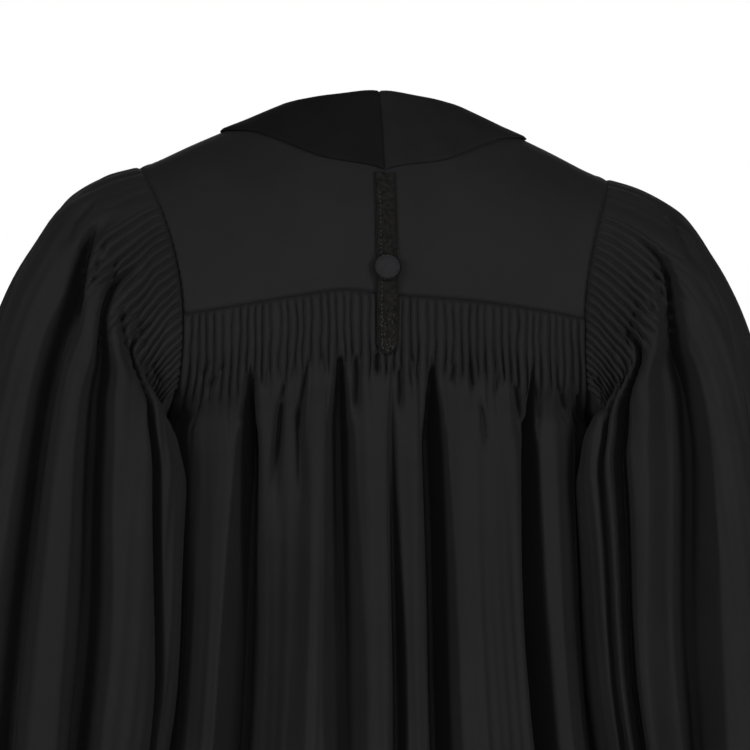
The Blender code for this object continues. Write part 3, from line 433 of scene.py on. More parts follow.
# The photo's view, in which a pixel is about a millimetre
PHOTO_PIXELS = 750
VIEW_TURN = math.radians(6.2)
VIEW_DISTANCE = 3.5
VIEW_WIDTH = 0.750
VIEW_CENTRE = (-0.001, 0.0, -0.242)
FILM_WIDTH = 36.0
CREASE_REACH = 3.0
FLOOR_Z = -1.352
FLOOR_RADIUS = 2.4
SURROUND_RADIUS = 14.0
WHITE = (1.0, 1.0, 1.0, 1.0)


# Shared sums


def column(rows, names, name):
    """One named column of a table, as an array."""
    return np.array([row[names.index(name)] for row in rows], dtype=float)


def tabled(at, rows, names, name):
    """A table's named column at places along its first column."""
    return flow(at, column(rows, names, names[0]), column(rows, names, name))


def ease(t):
    """A smooth step from nought to one."""
    t = np.clip(t, 0.0, 1.0)
    return t * t * (3.0 - 2.0 * t)


def rising(x, start, length):
    """A smooth step from nought to one over a length."""
    return ease((x - start) / length)


def falling(x, start, length):
    """A smooth step from one to nought over a length."""
    return 1.0 - ease((x - start) / length)


def span(x, start, growth, end, fade):
    """One over a span, with smooth ends."""
    return rising(x, start, growth) * falling(x, end, fade)


def dip(x, place, width):
    """A round dip or bump: one at its place, fading to nought around it."""
    return np.exp(-((x - place) / width) ** 2)


def flow(t, at, values):
    """A smooth curve through points, which never swings past them."""
    t = np.asarray(t, dtype=float)
    at = np.asarray(at, dtype=float)
    values = np.asarray(values, dtype=float)
    step = np.diff(at)
    slope = np.diff(values) / step
    bend = np.zeros_like(values)
    bend[0] = slope[0]
    bend[-1] = slope[-1]
    product = slope[:-1] * slope[1:]
    total = np.where(np.abs(slope[:-1] + slope[1:]) < 1e-12, 1.0, slope[:-1] + slope[1:])
    bend[1:-1] = np.where(product > 0.0, 2.0 * product / total, 0.0)
    k = np.clip(np.searchsorted(at, t, side="right") - 1, 0, len(at) - 2)
    h = step[k]
    s = np.clip((t - at[k]) / h, 0.0, 1.0)
    start = (1.0 + 2.0 * s) * (1.0 - s) ** 2 * values[k] + s * (1.0 - s) ** 2 * h * bend[k]
    end = s * s * (3.0 - 2.0 * s) * values[k + 1] - s * s * (1.0 - s) * h * bend[k + 1]
    return start + end


def draped(t, at, values, half, unit):
    """A line of folds through points: round ridges, and valleys with steep sides and a floor.

    A unit of the places is so many metres long. A valley without a width slopes evenly."""
    k = np.clip(np.searchsorted(at, t, side="right") - 1, 0, len(at) - 2)
    gap = at[k + 1] - at[k]
    rises = values[k] < values[k + 1]
    low = np.minimum(values[k], values[k + 1])
    high = np.maximum(values[k], values[k + 1])
    away = np.clip(np.where(rises, t - at[k], at[k + 1] - t), 0.0, gap)
    width = np.where(rises, half[k], half[k + 1])
    wide = np.where(width > 0.0, np.minimum(width, 0.8 * gap), gap)
    crown = np.where(width > 0.0, np.minimum(CROWN_SLOPE * (gap - wide) * unit, 0.4 * (high - low)), 0.0)
    up = (away / wide - VALLEY_FLOOR) / (1.0 - VALLEY_FLOOR)
    steep = 0.5 * ease(up) + 0.5 * np.clip(up, 0.0, 1.0)
    floor = np.clip(away / wide, 0.0, 1.0) ** 2
    slope = 0.5 * ease(away / gap) + 0.5 * away / gap
    wall = np.where(width > 0.0, FLOOR_RISE * floor + (1.0 - FLOOR_RISE) * steep, slope)
    to_crest = np.clip((gap - away) / np.maximum(gap - wide, 1e-9), 0.0, 1.0)
    return np.where(away < wide, low + (high - crown - low) * wall, high - crown * to_crest ** 2)


def lean(points):
    """Raise the wearer's left shoulder and lower the right one, fading out below the yoke."""
    points = np.array(points, dtype=float)
    points[..., 2] += LEAN * points[..., 0] * falling(-points[..., 2], 0.0, LEAN_END)
    return points


def unit(vectors):
    """Vectors made one unit long."""
    return vectors / np.maximum(np.linalg.norm(vectors, axis=-1, keepdims=True), 1e-12)


def normals(points, ring=False):
    """Unit normals of a grid whose rows run down and whose columns run towards +X behind."""
    if ring:
        padded = np.concatenate([points[:, -1:], points, points[:, :1]], axis=1)
        across = padded[:, 2:] - padded[:, :-2]
    else:
        across = np.gradient(points, axis=1)
    return unit(np.cross(np.gradient(points, axis=0), across))


def seam_clear(offsets, axis, sign):
    """Stop a wall's edge leaning over its seam, so that two walls never meet there."""
    offsets = offsets.copy()
    lengths = np.linalg.norm(offsets, axis=-1, keepdims=True)
    offsets[..., axis] = sign * np.maximum(sign * offsets[..., axis], 0.0)
    left = np.linalg.norm(offsets, axis=-1, keepdims=True)
    return offsets / np.maximum(left, lengths * 0.01) * lengths


def drift(x, y, seed, waves=5):
    """A smooth uneven number from about -1 to 1 over a plane, the same each time for a seed."""
    rng = np.random.default_rng(seed)
    total = np.zeros(np.broadcast(x, y).shape)
    for _ in range(waves):
        angle = rng.uniform(0.0, 2.0 * math.pi)
        pace = rng.uniform(0.5, 1.6)
        phase = rng.uniform(0.0, 2.0 * math.pi)
        along = x * math.cos(angle) + y * math.sin(angle)
        total = total + np.sin(pace * along * 2.0 * math.pi + phase)
    return total / waves ** 0.5


def waves(x, y, table, seed):
    """Uneven waves over a plane, summed from a table of paces and heights."""
    rows = enumerate(table)
    return sum(height * drift(x * across, y * down, seed + k) for k, (across, down, height) in rows)


def line_at(places, along, points):
    """Points of a line at places along it."""
    return np.stack([np.interp(places, along, points[:, axis]) for axis in range(3)], axis=-1)


def line_lengths(line):
    """Distance of each point of a line from its first one."""
    return cloth_lengths(line[:, None], 0)[:, 0]


# Plain form of the cloth


def ridge(x):
    """Height of the shoulder ridge."""
    return RIDGE_TOP - RIDGE_SLOPE * (np.sqrt(np.square(x) + RIDGE_ROUND ** 2) - RIDGE_ROUND)


def bulge(share):
    """Depth of a cross-section at a share of its half width, as a share of its full depth."""
    share = np.clip(np.abs(share), 0.0, 1.0)
    return (1.0 - share ** GIRTH_SQUARENESS) ** (1.0 / GIRTH_SQUARENESS)


def shoulder(x, turn):
    """Point of the shoulder form: turn runs from -90 degrees, in front, over the ridge to +90."""
    power = np.where(turn >= 0.0, BACK_TURN, FRONT_TURN)
    depth = np.where(turn >= 0.0, SHOULDER_BACK, SHOULDER_FRONT) * bulge(x / SHOULDER_REACH)
    lift = np.clip(np.cos(turn), 0.0, 1.0) ** (2.0 / power)
    return np.stack([x, depth * np.sin(turn), BLADE_LEVEL + (ridge(x) - BLADE_LEVEL) * lift], axis=-1)


def shoulder_turn(x, z, side):
    """Turn at which the shoulder form has height z."""
    power = np.where(np.asarray(side) > 0, BACK_TURN, FRONT_TURN)
    share = np.clip((z - BLADE_LEVEL) / (ridge(x) - BLADE_LEVEL), 0.0, 1.0)
    return side * np.arccos(np.clip(share ** (power / 2.0), 0.0, 1.0))


def girth(drop, name):
    """A measure of the body's cross-section at a drop below the origin."""
    return tabled(np.clip(drop, GIRTHS[0][0], GIRTHS[-1][0]), GIRTHS, GIRTH_COLUMNS, name)


def body_depth(x, z, side):
    """Depth y of the plain cloth at width x and height z, behind (side +1) or in front (-1)."""
    above = shoulder(x, shoulder_turn(x, z, side))[..., 1]
    full = np.where(np.asarray(side) > 0, girth(-z, "back"), girth(-z, "front"))
    return np.where(z > BLADE_LEVEL, above, side * full * bulge(x / girth(-z, "half_width")))


def armhole(angle):
    """Point of the left armhole seam: 0 at the shoulder, +90 degrees behind, 180 under the arm."""
    side = np.where(np.sin(angle) >= 0.0, 1.0, -1.0)
    x = ARMHOLE_X + ARMHOLE_SPREAD * np.cos(angle) - ARMHOLE_BOW * np.sin(angle) ** 2
    z = ARMHOLE_Z + ARMHOLE_HALF * np.cos(angle)
    return np.stack([x, body_depth(x, z, side), z], axis=-1)


def edge_width(z):
    """Half width of the front and back panels: the armhole, then the side seam."""
    cosine = np.clip((z - ARMHOLE_Z) / ARMHOLE_HALF, -1.0, 1.0)
    at_armhole = ARMHOLE_X + ARMHOLE_SPREAD * cosine - ARMHOLE_BOW * (1.0 - cosine ** 2)
    return np.where(-z < UNDERARM_DROP, at_armhole, girth(-z, "half_width"))


def body_width(y, z):
    """Half width of the plain body at depth y and height z."""
    full = np.where(y >= 0.0, girth(-z, "back"), girth(-z, "front"))
    return np.minimum(girth(-z, "half_width") * bulge(y / full), edge_width(z))


def side_line(z, side, samples=48):
    """Widths of the plain cloth from its middle to its side at height z, and lengths up to each."""
    x = edge_width(z)[..., None] * np.sin(np.linspace(0.0, math.pi / 2.0, samples))
    y = body_depth(x, np.repeat(z[..., None], samples, axis=-1), side)
    steps = np.hypot(np.diff(x, axis=-1), np.diff(y, axis=-1))
    return x, np.concatenate([np.zeros_like(z)[..., None], np.cumsum(steps, axis=-1)], axis=-1)


def body_point(share, z, side):
    """Point at a share (-1 to 1) of the half girth, measured along the cloth, at height z."""
    z = np.broadcast_to(np.asarray(z, dtype=float), share.shape)
    x, along = side_line(z, side)
    target = np.abs(share) * along[..., -1]
    k = np.clip((along < target[..., None]).sum(axis=-1) - 1, 0, x.shape[-1] - 2)[..., None]
    low, high, x_low, x_high = [
        np.take_along_axis(values, at, axis=-1)[..., 0]
        for values, at in ((along, k), (along, k + 1), (x, k), (x, k + 1))
    ]
    across = x_low + (x_high - x_low) * (target - low) / np.maximum(high - low, 1e-12)
    return np.stack([np.where(share < 0, -across, across), body_depth(across, z, side), z], axis=-1)


def back_opening(z):
    """How far the back has widened towards its full girth, from 0 to 1, at height z."""
    levels = np.linspace(BACK_SEAM_LEVEL, -UNDERARM_DROP, 60)
    wide = side_line(levels, 1)[1][:, -1]
    return np.interp(-z, -levels, np.clip((wide - wide[0]) / (wide[-1] - wide[0]), 0.0, 1.0))


def low_share(seam_share):
    """Share of the half girth below the armholes that hangs from a share of the yoke seam."""
    seam = column(SEAM_SHARES, SEAM_SHARE_COLUMNS, "seam")
    below = column(SEAM_SHARES, SEAM_SHARE_COLUMNS, "below")
    return np.sign(seam_share) * np.interp(np.abs(seam_share), seam, below)


def fold_heights(low, rows, table, growth):
    """Height of a panel's folds at the low shares of its columns, for each fall below the seam."""
    columns = {name: column(table, FOLD_COLUMNS, name) for name in FOLD_COLUMNS}
    falls, shares = np.array(VALLEY_WIDENING).T
    low = low + FOLD_SWAY * drift(low * 3.0, rows[:, None] * 2.2, 41) * (1.0 - np.abs(low) ** 4)
    settled = rising(rows, SETTLE_START, SETTLE_LENGTH)
    lines = []
    for line, part, wide in zip(low, settled, np.interp(rows, falls, shares)):
        place = columns["top"] + (columns["low"] - columns["top"]) * part
        height = columns["top_height"] + (columns["low_height"] - columns["top_height"]) * part
        lines.append(draped(line, place, height / 1000.0, columns["half"] * wide, BODY_UNIT))
    gain = 1.0 + (FOLD_HEM_GAIN - 1.0) * ease(rows / HEM_DROP)
    return np.array(lines) * (rising(rows, FOLD_START, growth) * gain)[:, None]


def aimed(outward, depthward):
    """Directions of folds: the cloth's own normals, turned towards straight behind or in front."""
    return unit(outward + FOLD_AIM * depthward)


# The photo's view


VIEW_AWAY = np.array([math.sin(VIEW_TURN), math.cos(VIEW_TURN), 0.0])
VIEW_RIGHT = np.array([-math.cos(VIEW_TURN), math.sin(VIEW_TURN), 0.0])
VIEW_PLACE = np.array(VIEW_CENTRE) + VIEW_AWAY * VIEW_DISTANCE


def photo_place(points):
    """Where points show in the photo's frame, in pixels from its top left corner."""
    to = points - VIEW_PLACE
    scale = PHOTO_PIXELS * VIEW_DISTANCE / VIEW_WIDTH / -(to @ VIEW_AWAY)
    return PHOTO_PIXELS / 2.0 + (to @ VIEW_RIGHT) * scale, PHOTO_PIXELS / 2.0 - to[..., 2] * scale


# Creases, given in the photo's pixels: three points, then width in pixels and depth in
# millimetres. A crease with a negative depth stands out.
CREASE_COLUMNS = ("x0", "y0", "x1", "y1", "x2", "y2", "width", "depth")
BACK_CREASES = (
    (254, 372, 254, 430, 256, 520, 3.4, 8),
    (266, 366, 267, 380, 266, 398, 2.3, 4),
    (286, 372, 279, 420, 274, 480, 2.8, 6),
    (309, 352, 303, 395, 298, 438, 2.8, 8),
    (340, 356, 340, 380, 341, 420, 4.6, 13),
    (356, 352, 357, 385, 356, 418, 3.4, 11),
    (377, 352, 377, 362, 378, 376, 2.8, 8),
    (399, 366, 400, 390, 400, 418, 2.5, 8),
    (432, 366, 433, 400, 434, 450, 4.6, 10),
    (481, 402, 485, 425, 489, 448, 2.5, 6),
    (456, 362, 453, 375, 450, 390, 2.3, 4),
    (515, 384, 519, 410, 522, 450, 3.9, 8),
    (536, 384, 538, 410, 540, 440, 2.5, 6),
    (226, 362, 212, 382, 198, 404, 2.8, 4),
    (212, 360, 204, 372, 198, 384, 2.3, 3),
    (578, 392, 580, 430, 583, 500, 3.0, 8),
    (412, 352, 414, 366, 415, 380, 2.3, 6),
    (470, 360, 472, 378, 474, 392, 2.3, 6),
    (500, 372, 497, 384, 495, 398, 2.3, 4),
    (558, 384, 562, 400, 566, 420, 2.3, 6),
    (322, 350, 324, 366, 325, 380, 2.1, 4),
    (281, 402, 277, 450, 270, 530, 5.0, 9),
    (297, 404, 300, 450, 302, 505, 4.0, 8),
)
LEFT_SLEEVE_CREASES = (
    (94, 204, 74, 222, 66, 250, 4.0, 6),
    (96, 224, 88, 246, 80, 272, 3.4, 6),
    (106, 243, 97, 265, 91, 300, 3.0, 5),
    (117, 260, 112, 282, 106, 310, 3.6, 7),
    (125, 302, 124, 340, 141, 390, 3.4, 8),
    (137, 318, 142, 334, 147, 350, 2.6, 5),
    (152, 362, 158, 378, 166, 386, 2.2, 4),
    (132, 306, 131, 345, 150, 392, 1.8, -4),
)
RIGHT_SLEEVE_CREASES = (
    (668, 212, 684, 240, 704, 280, 3.4, 5),
    (660, 244, 672, 280, 686, 340, 3.0, 6),
    (654, 270, 662, 296, 670, 336, 2.8, 5),
    (640, 300, 630, 330, 624, 362, 4.0, 6),
    (650, 298, 652, 306, 654, 314, 2.4, 5),
    (598, 374, 602, 396, 604, 430, 2.2, 5),
    (606, 366, 618, 378, 612, 402, 2.0, -3),
    (590, 372, 596, 384, 600, 396, 1.8, 4),
)


def crease_line(first, middle, last, t):
    """One coordinate of a smooth curve through three points."""
    bend = 2.0 * middle - (first + last) / 2.0
    return (1.0 - t) ** 2 * first + 2.0 * t * (1.0 - t) * bend + t ** 2 * last


def pressed(points, outward, creases):
    """Points with the creases pressed in where they show from behind."""
    across, down = photo_place(lean(points))
    depth = np.zeros(points.shape[:-1])
    t = np.linspace(0.0, 1.0, 25)
    for row in creases:
        crease = dict(zip(CREASE_COLUMNS, row))
        line_x = crease_line(crease["x0"], crease["x1"], crease["x2"], t)
        line_y = crease_line(crease["y0"], crease["y1"], crease["y2"], t)
        reach = CREASE_REACH * crease["width"]
        near = (across > line_x.min() - reach) & (across < line_x.max() + reach)
        near &= (down > line_y.min() - reach) & (down < line_y.max() + reach)
        if not near.any():
            continue
        gap = np.hypot(across[near][:, None] - line_x, down[near][:, None] - line_y)
        along = t[gap.argmin(axis=1)]
        ends = ease(along / 0.12) * ease((1.0 - along) / 0.35)
        wide = crease["width"] * (0.6 + 0.8 * along)
        depth[near] += crease["depth"] / 1000.0 * ends * dip(gap.min(axis=1), 0.0, wide)
    return points - outward * (depth * ease(outward[..., 1] / 0.35))[..., None]


# Meshes


def grid_faces(count_rows, count_columns, ring, start=0, flip=False):
    """Faces of a grid of vertices, four to each."""
    across = np.arange(count_columns if ring else count_columns - 1)
    row, at = np.meshgrid(np.arange(count_rows - 1), across, indexing="ij")
    right = (at + 1) % count_columns
    a = row * count_columns + at
    b = row * count_columns + right
    c = (row + 1) * count_columns + right
    d = (row + 1) * count_columns + at
    order = (a, b, c, d) if flip else (a, d, c, b)
    return start + np.stack(order, axis=-1).reshape(-1, 4)


def rim_faces(first, second, ring):
    """Faces between two lines of vertices with the same count."""
    if ring:
        first = np.append(first, first[0])
        second = np.append(second, second[0])
    return np.stack([first[:-1], first[1:], second[1:], second[:-1]], axis=-1)


def cloth_lengths(points, axis, ring=False):
    """Distance along the cloth from the grid's first row or column."""
    steps = np.linalg.norm(np.diff(points, axis=axis), axis=-1)
    start = np.zeros_like(np.take(steps, [0], axis=axis))
    return np.concatenate([start, np.cumsum(steps, axis=axis)], axis=axis)


def placed(name, data):
    """An object with this data, in the scene."""
    made = bpy.data.objects.new(name, data)
    bpy.context.scene.collection.objects.link(made)
    return made


def mesh_object(name, points, faces, places):
    """An object from arrays of points and four-sided faces, with places as its UV map."""
    data = bpy.data.meshes.new(name)
    data.vertices.add(len(points))
    data.vertices.foreach_set("co", points.astype(np.float32).ravel())
    data.loops.add(faces.size)
    data.loops.foreach_set("vertex_index", faces.astype(np.int32).ravel())
    data.polygons.add(len(faces))
    data.polygons.foreach_set("loop_start", np.arange(len(faces), dtype=np.int32) * 4)
    data.polygons.foreach_set("use_smooth", np.ones(len(faces), dtype=bool))
    data.update(calc_edges=True)
    layer = data.uv_layers.new(name="cloth")
    layer.data.foreach_set("uv", places[faces.ravel()].astype(np.float32).ravel())
    data.validate()
    return placed(name, data)


def closed_tubes(name, tubes):
    """One mesh of closed tubes, each with its rings of points and a point that closes each end."""
    points = []
    faces = []
    start = 0
    for rings, first, last in tubes:
        count, sides = rings.shape[:2]
        points += [rings.reshape(-1, 3), np.stack([first, last])]
        faces += grid_faces(count, sides, True, start).tolist()
        tip = start + count * sides
        for at in range(sides):
            after = (at + 1) % sides
            faces.append((start + at, start + after, tip))
            faces.append((tip - sides + after, tip - sides + at, tip + 1))
        start = tip + 2
    data = bpy.data.meshes.new(name)
    data.from_pydata(lean(np.concatenate(points)).tolist(), [], faces)
    work = bmesh.new()
    work.from_mesh(data)
    bmesh.ops.recalc_face_normals(work, faces=work.faces)
    work.to_mesh(data)
    work.free()
    data.shade_smooth()
    return placed(name, data)


def shell(name, outer, inner, ring=False, mirror=1, turned=False):
    """A closed thin sheet of cloth between two grids of points of the same size."""
    outer = lean(outer * np.array([mirror, 1.0, 1.0]))
    inner = lean(inner * np.array([mirror, 1.0, 1.0]))
    count_rows, count_columns = outer.shape[:2]
    flip = (mirror < 0) == turned
    number = np.arange(count_rows * count_columns).reshape(count_rows, count_columns)
    under = number + number.size
    faces = [
        grid_faces(count_rows, count_columns, ring, 0, flip),
        grid_faces(count_rows, count_columns, ring, number.size, not flip),
    ]
    rims = [rim_faces(number[0], under[0], ring), rim_faces(under[-1], number[-1], ring)]
    if not ring:
        rims.append(rim_faces(under[:, 0], number[:, 0], False))
        rims.append(rim_faces(number[:, -1], under[:, -1], False))
    faces += [rim[:, ::-1] if flip else rim for rim in rims]
    places = np.stack([cloth_lengths(outer, 1), cloth_lengths(outer, 0)], axis=-1).reshape(-1, 2)
    points = np.concatenate([outer.reshape(-1, 3), inner.reshape(-1, 3)])
    return mesh_object(name, points, np.concatenate(faces), np.concatenate([places, places]))


# Fine gathers


def flute_columns(count, points, seed):
    """Places from 0 to 1 of the columns of uneven flutes, and where each lies across its flute."""
    width = 1.0 + FLUTE_UNEVEN * np.random.default_rng(seed).uniform(-1.0, 1.0, count)
    edges = np.concatenate([[0.0], np.cumsum(width)]) / width.sum()
    part = np.arange(points) / points
    places = (edges[:-1, None] + np.diff(edges)[:, None] * part).ravel()
    return np.append(places, 1.0), np.append(np.tile(part, count), 1.0)


def flute_profile(part):
    """A rounded ridge with narrow valleys: 0 at the valleys and 1 on top."""
    return np.abs(np.sin(part * math.pi)) ** FLUTE_ROUND


def per_flute(count, points, seed, low, high):
    """A different number for each flute, repeated for its columns."""
    values = np.random.default_rng(seed).uniform(low, high, count)
    return np.append(np.repeat(values, points), values[-1])


def per_valley(count, points, seed, low, high):
    """Numbers that are fixed at the valleys and change evenly across each flute."""
    values = np.random.default_rng(seed).uniform(low, high, count + 1)
    spread = values[:-1, None] + np.diff(values)[:, None] * np.arange(points) / points
    return np.append(spread.ravel(), values[-1])


def valley_profile(part):
    """A narrow line at the valleys between flutes."""
    return dip(np.minimum(part, 1.0 - part), 0.0, VALLEY_LINE_WIDTH)


# Body panels


def panel_levels(seam, places, rows):
    """Points along the seam, and the height of each grid point below them. The hem is level."""
    along = line_lengths(seam)
    top = line_at(places * along[-1], along, seam)
    arm = UNDERARM_DROP + seam[-1, 2]
    level = rising(rows, arm, rows[-1] - arm)[:, None]
    return top, top[:, 2] - rows[:, None] - (HEM_DROP + top[:, 2] - rows[-1]) * level


def panel_base(top, levels, share, side):
    """Plain points of a body panel that hangs from a seam."""
    base = body_point(share, levels, side)
    base[0] = top - np.array([0.0, 0.0, SEAM_GAP])
    if side < 0:
        base[:, 0, 0] = SEAM_GAP / 2.0
    for edge in side_edges(side):
        base[:, edge, 1] = side * np.maximum(side * base[:, edge, 1], SEAM_GAP / 2.0)
    return base


def side_edges(side):
    """Columns of a panel that lie along a side seam: both of the back's, the last of a front's."""
    return (0, -1) if side > 0 else (-1,)


def small_folds(share, fall, seed):
    """Low uneven waves that run down the cloth, in metres."""
    wave = waves(share, fall, PANEL_WAVES, seed)
    return wave * rising(fall, 0.05, 0.15) * ease((1.0 - np.abs(share)) / 0.05)


def panel_cloth(base, folded, facing, side):
    """Inner points of a body panel, whose edges never lean over a seam."""
    inner = -facing * CLOTH_WALL
    inner[0] = seam_clear(inner[0], 2, -1)
    inner[:, -1] = seam_clear(inner[:, -1], 0, -1)
    inner[:, 0] = seam_clear(inner[:, 0], 0, 1)
    below = base[:, -1, 2] <= -UNDERARM_DROP + SEAM_GAP
    for edge in side_edges(side):
        inner[below, edge] = seam_clear(inner[below, edge], 1, side)
    return folded + inner


def row_falls(fine_end, fine_rows, long_rows, end):
    """Falls of the rows: close under the seam, then wider apart down to the hem."""
    t = np.linspace(0.0, 1.0, long_rows + 1)[1:]
    first = fine_end / fine_rows / (end - fine_end) * long_rows
    long_part = fine_end + (end - fine_end) * (t * first + (1.0 - first) * t ** LONG_ROW_POWER)
    return np.concatenate([np.linspace(0.0, fine_end, fine_rows), long_part])


def hem_line(to_hem, share):
    """A shallow line where the hem's hidden stitches pull the cloth in."""
    return -HEM_LINE_DEPTH * dip(to_hem, HEM_LINE_RISE, HEM_LINE_WIDTH) * ease((1.0 - np.abs(share)) / 0.03)


def sleeve_dent(base):
    """Depth of the hollow that the left sleeve's inner fold presses into the side of the back."""
    across = dip(base[..., 1], DENT_Y, DENT_WIDTH) * (base[..., 0] > 0.0)
    return DENT_DEPTH * across * span(-base[..., 2], *DENT_SPAN)


def braid_press(top, fall):
    """How tall the flutes stay, as a share, where the braid lies over them."""
    under = falling(np.abs(top), BRAID_PRESS_HALF, 0.020) * falling(fall, BRAID_PRESS_END, 0.010)
    return 1.0 - BRAID_PRESS * under


def make_back(yoke):
    """The back: fifty flutes under the yoke seam, which open into long folds."""
    spans = dict(YOKE_SPANS)
    corner = spans["front seam"] + spans["armhole front"] + spans["armhole back"]
    seam = yoke[-1, corner:yoke.shape[1] - corner]
    end = HEM_DROP + seam[-1, 2]
    rows = row_falls(BACK_FINE_END, BACK_FINE_ROWS, BACK_LONG_ROWS, end)
    fall = rows[:, None]
    flutes = (BACK_FLUTES, FLUTE_POINTS)
    place, part = flute_columns(*flutes, BACK_SEED)
    top = place * 2.0 - 1.0
    waver = waves(top, fall, BACK_WAVERS, BACK_SEED + 10) * span(fall, *BACK_WAVER_SPAN)
    waver = waver * FLUTE_WAVER * 2.0 / BACK_FLUTES * ease((1.0 - np.abs(top)) / 0.03)
    low = low_share(top + waver)
    seam_points, levels = panel_levels(seam, place, rows)
    share = top + waver + (low - top - waver) * back_opening(levels)
    base = panel_base(seam_points, levels, share, 1)
    heights = fold_heights(low, rows, BACK_FOLDS, FOLD_GROWTH) + small_folds(low, fall, BACK_SEED + 20)
    away = aimed(-normals(base), Y_AXIS)
    folded = base + away * (heights - sleeve_dent(base))[..., None]
    facing = -normals(folded)
    facing[0] = seam_clear(facing[0], 2, -1)
    length = FLUTE_LENGTH + per_valley(*flutes, BACK_SEED + 1, 0.0, FLUTE_LENGTH_SPREAD)
    length = length + SIDE_FLUTE_GAIN * rising(np.abs(top), SIDE_FLUTE_START, 1.0 - SIDE_FLUTE_START)
    tall = per_flute(*flutes, BACK_SEED + 2, *FLUTE_TALL) * braid_press(top, fall)
    fade = falling(fall, length, FLUTE_FADE) * ease(fall / 0.004)
    raised = FLUTE_HEIGHT * tall * flute_profile(part) * fade
    reach = per_valley(*flutes, BACK_SEED + 3, 0.0, VALLEY_LINE_REACH)
    deep = VALLEY_LINE_DEPTH * per_valley(*flutes, BACK_SEED + 4, 0.2, 1.0)
    line = rising(fall, VALLEY_LINE_START, VALLEY_LINE_GROWTH)
    line = line * falling(fall, length + reach * 0.4, 0.01 + reach)
    raised = raised - deep * valley_profile(part) * line + hem_line(end - fall, low)
    outer = pressed(folded + away * raised[..., None], away, BACK_CREASES)
    return shell("back_cloth", outer, panel_cloth(base, outer, facing, 1)), base


def make_front(name, mirror, table, yoke, seed):
    """A front: soft gathers under the yoke seam, then long folds; flat beside the closure."""
    seam = yoke[-1, ::-1][:dict(YOKE_SPANS)["front seam"] + 1]
    end = HEM_DROP + seam[-1, 2]
    rows = row_falls(FRONT_FINE_END, BACK_FINE_ROWS, FRONT_LONG_ROWS, end)
    fall = rows[:, None]
    gathers = (FRONT_GATHERS, GATHER_POINTS)
    first = BAND_FLAT / seam[-1, 0]
    place, part = flute_columns(*gathers, seed)
    flat = np.linspace(0.0, first, BAND_FLAT_STEPS + 1)[:-1]
    top = np.concatenate([flat, first + (1.0 - first) * place])
    part = np.concatenate([np.zeros(BAND_FLAT_STEPS), part])
    waver = waves(top, fall, FRONT_WAVERS, seed + 1) * span(fall, *FRONT_WAVER_SPAN)
    waver = waver * rising(top, first, 0.05) * ease((1.0 - top) / 0.05)
    low = low_share(top + waver)
    seam_points, levels = panel_levels(seam, top, rows)
    share = top + waver + (low - top - waver) * ease(fall / OPENING_LENGTH)
    base = panel_base(seam_points, levels, share, -1)
    heights = fold_heights(low, rows, table, FRONT_FOLD_GROWTH)
    heights = heights + small_folds(low, fall, seed + 2) * rising(low, 0.12, 0.10)
    away = aimed(normals(base), -Y_AXIS)
    folded = base + away * heights[..., None]
    facing = normals(folded)
    facing[0] = seam_clear(facing[0], 2, -1)
    spread = per_valley(*gathers, seed + 3, 0.0, GATHER_LENGTH_SPREAD)
    tall = per_flute(*gathers, seed + 4, *GATHER_TALL)
    length = GATHER_LENGTH + np.concatenate([np.zeros(BAND_FLAT_STEPS), spread])
    tall = np.concatenate([np.ones(BAND_FLAT_STEPS), tall])
    fade = falling(fall, length, GATHER_FADE) * ease(fall / 0.005) * rising(top, first, 0.03)
    raised = GATHER_HEIGHT * tall * flute_profile(part) * fade + hem_line(end - fall, low)
    outer = folded + away * raised[..., None]
    return shell(name, outer, panel_cloth(base, outer, facing, -1), mirror=mirror, turned=True), base


# Sleeves


def ring_value(ring, name):
    """A measure of the sleeve's loop at a ring number."""
    return tabled(ring, RINGS, RING_COLUMNS, name)


def loop_point(ring, angle):
    """Point of the plain sleeve loop, whose inner corners hug the body behind and in front."""
    ends = [(ring_value(ring, "outer_" + axis), ring_value(ring, "inner_" + axis)) for axis in "xz"]
    x, z = [(outer + inner) / 2.0 + (outer - inner) / 2.0 * np.cos(angle) for outer, inner in ends]
    depth = np.where(np.sin(angle) >= 0.0, ring_value(ring, "back"), ring_value(ring, "front"))
    y = depth * np.sin(angle)
    corner = 2.0 * np.maximum(-np.cos(angle), 0.0) * np.abs(np.sin(angle))
    nearest = np.minimum(x, body_width(y, z) + HUG_CLEAR)
    return np.stack([np.maximum(x - ring_value(ring, "hug") * corner, nearest), y, z], axis=-1)


def twist(ring, angle):
    """How far the cloth turns down behind and in front on its way from the armhole."""
    return SLEEVE_TWIST * np.sin(angle) * np.sqrt(np.abs(np.sin(angle))) * ease(ring / TWIST_RINGS)


def sleeve_fold_places(ring, table):
    """Angles in degrees of the fold table's rows at a ring."""
    head, middle, cuff = [column(table, SLEEVE_FOLD_COLUMNS, name) for name in ("head", "shoulder", "cuff")]
    upper = rising(ring, HEAD_RING, SHOULDER_RING - HEAD_RING)
    lower = rising(ring, SHOULDER_RING, RINGS[-1][0] - SHOULDER_RING)
    return head + (middle - head) * upper + (cuff - middle) * lower


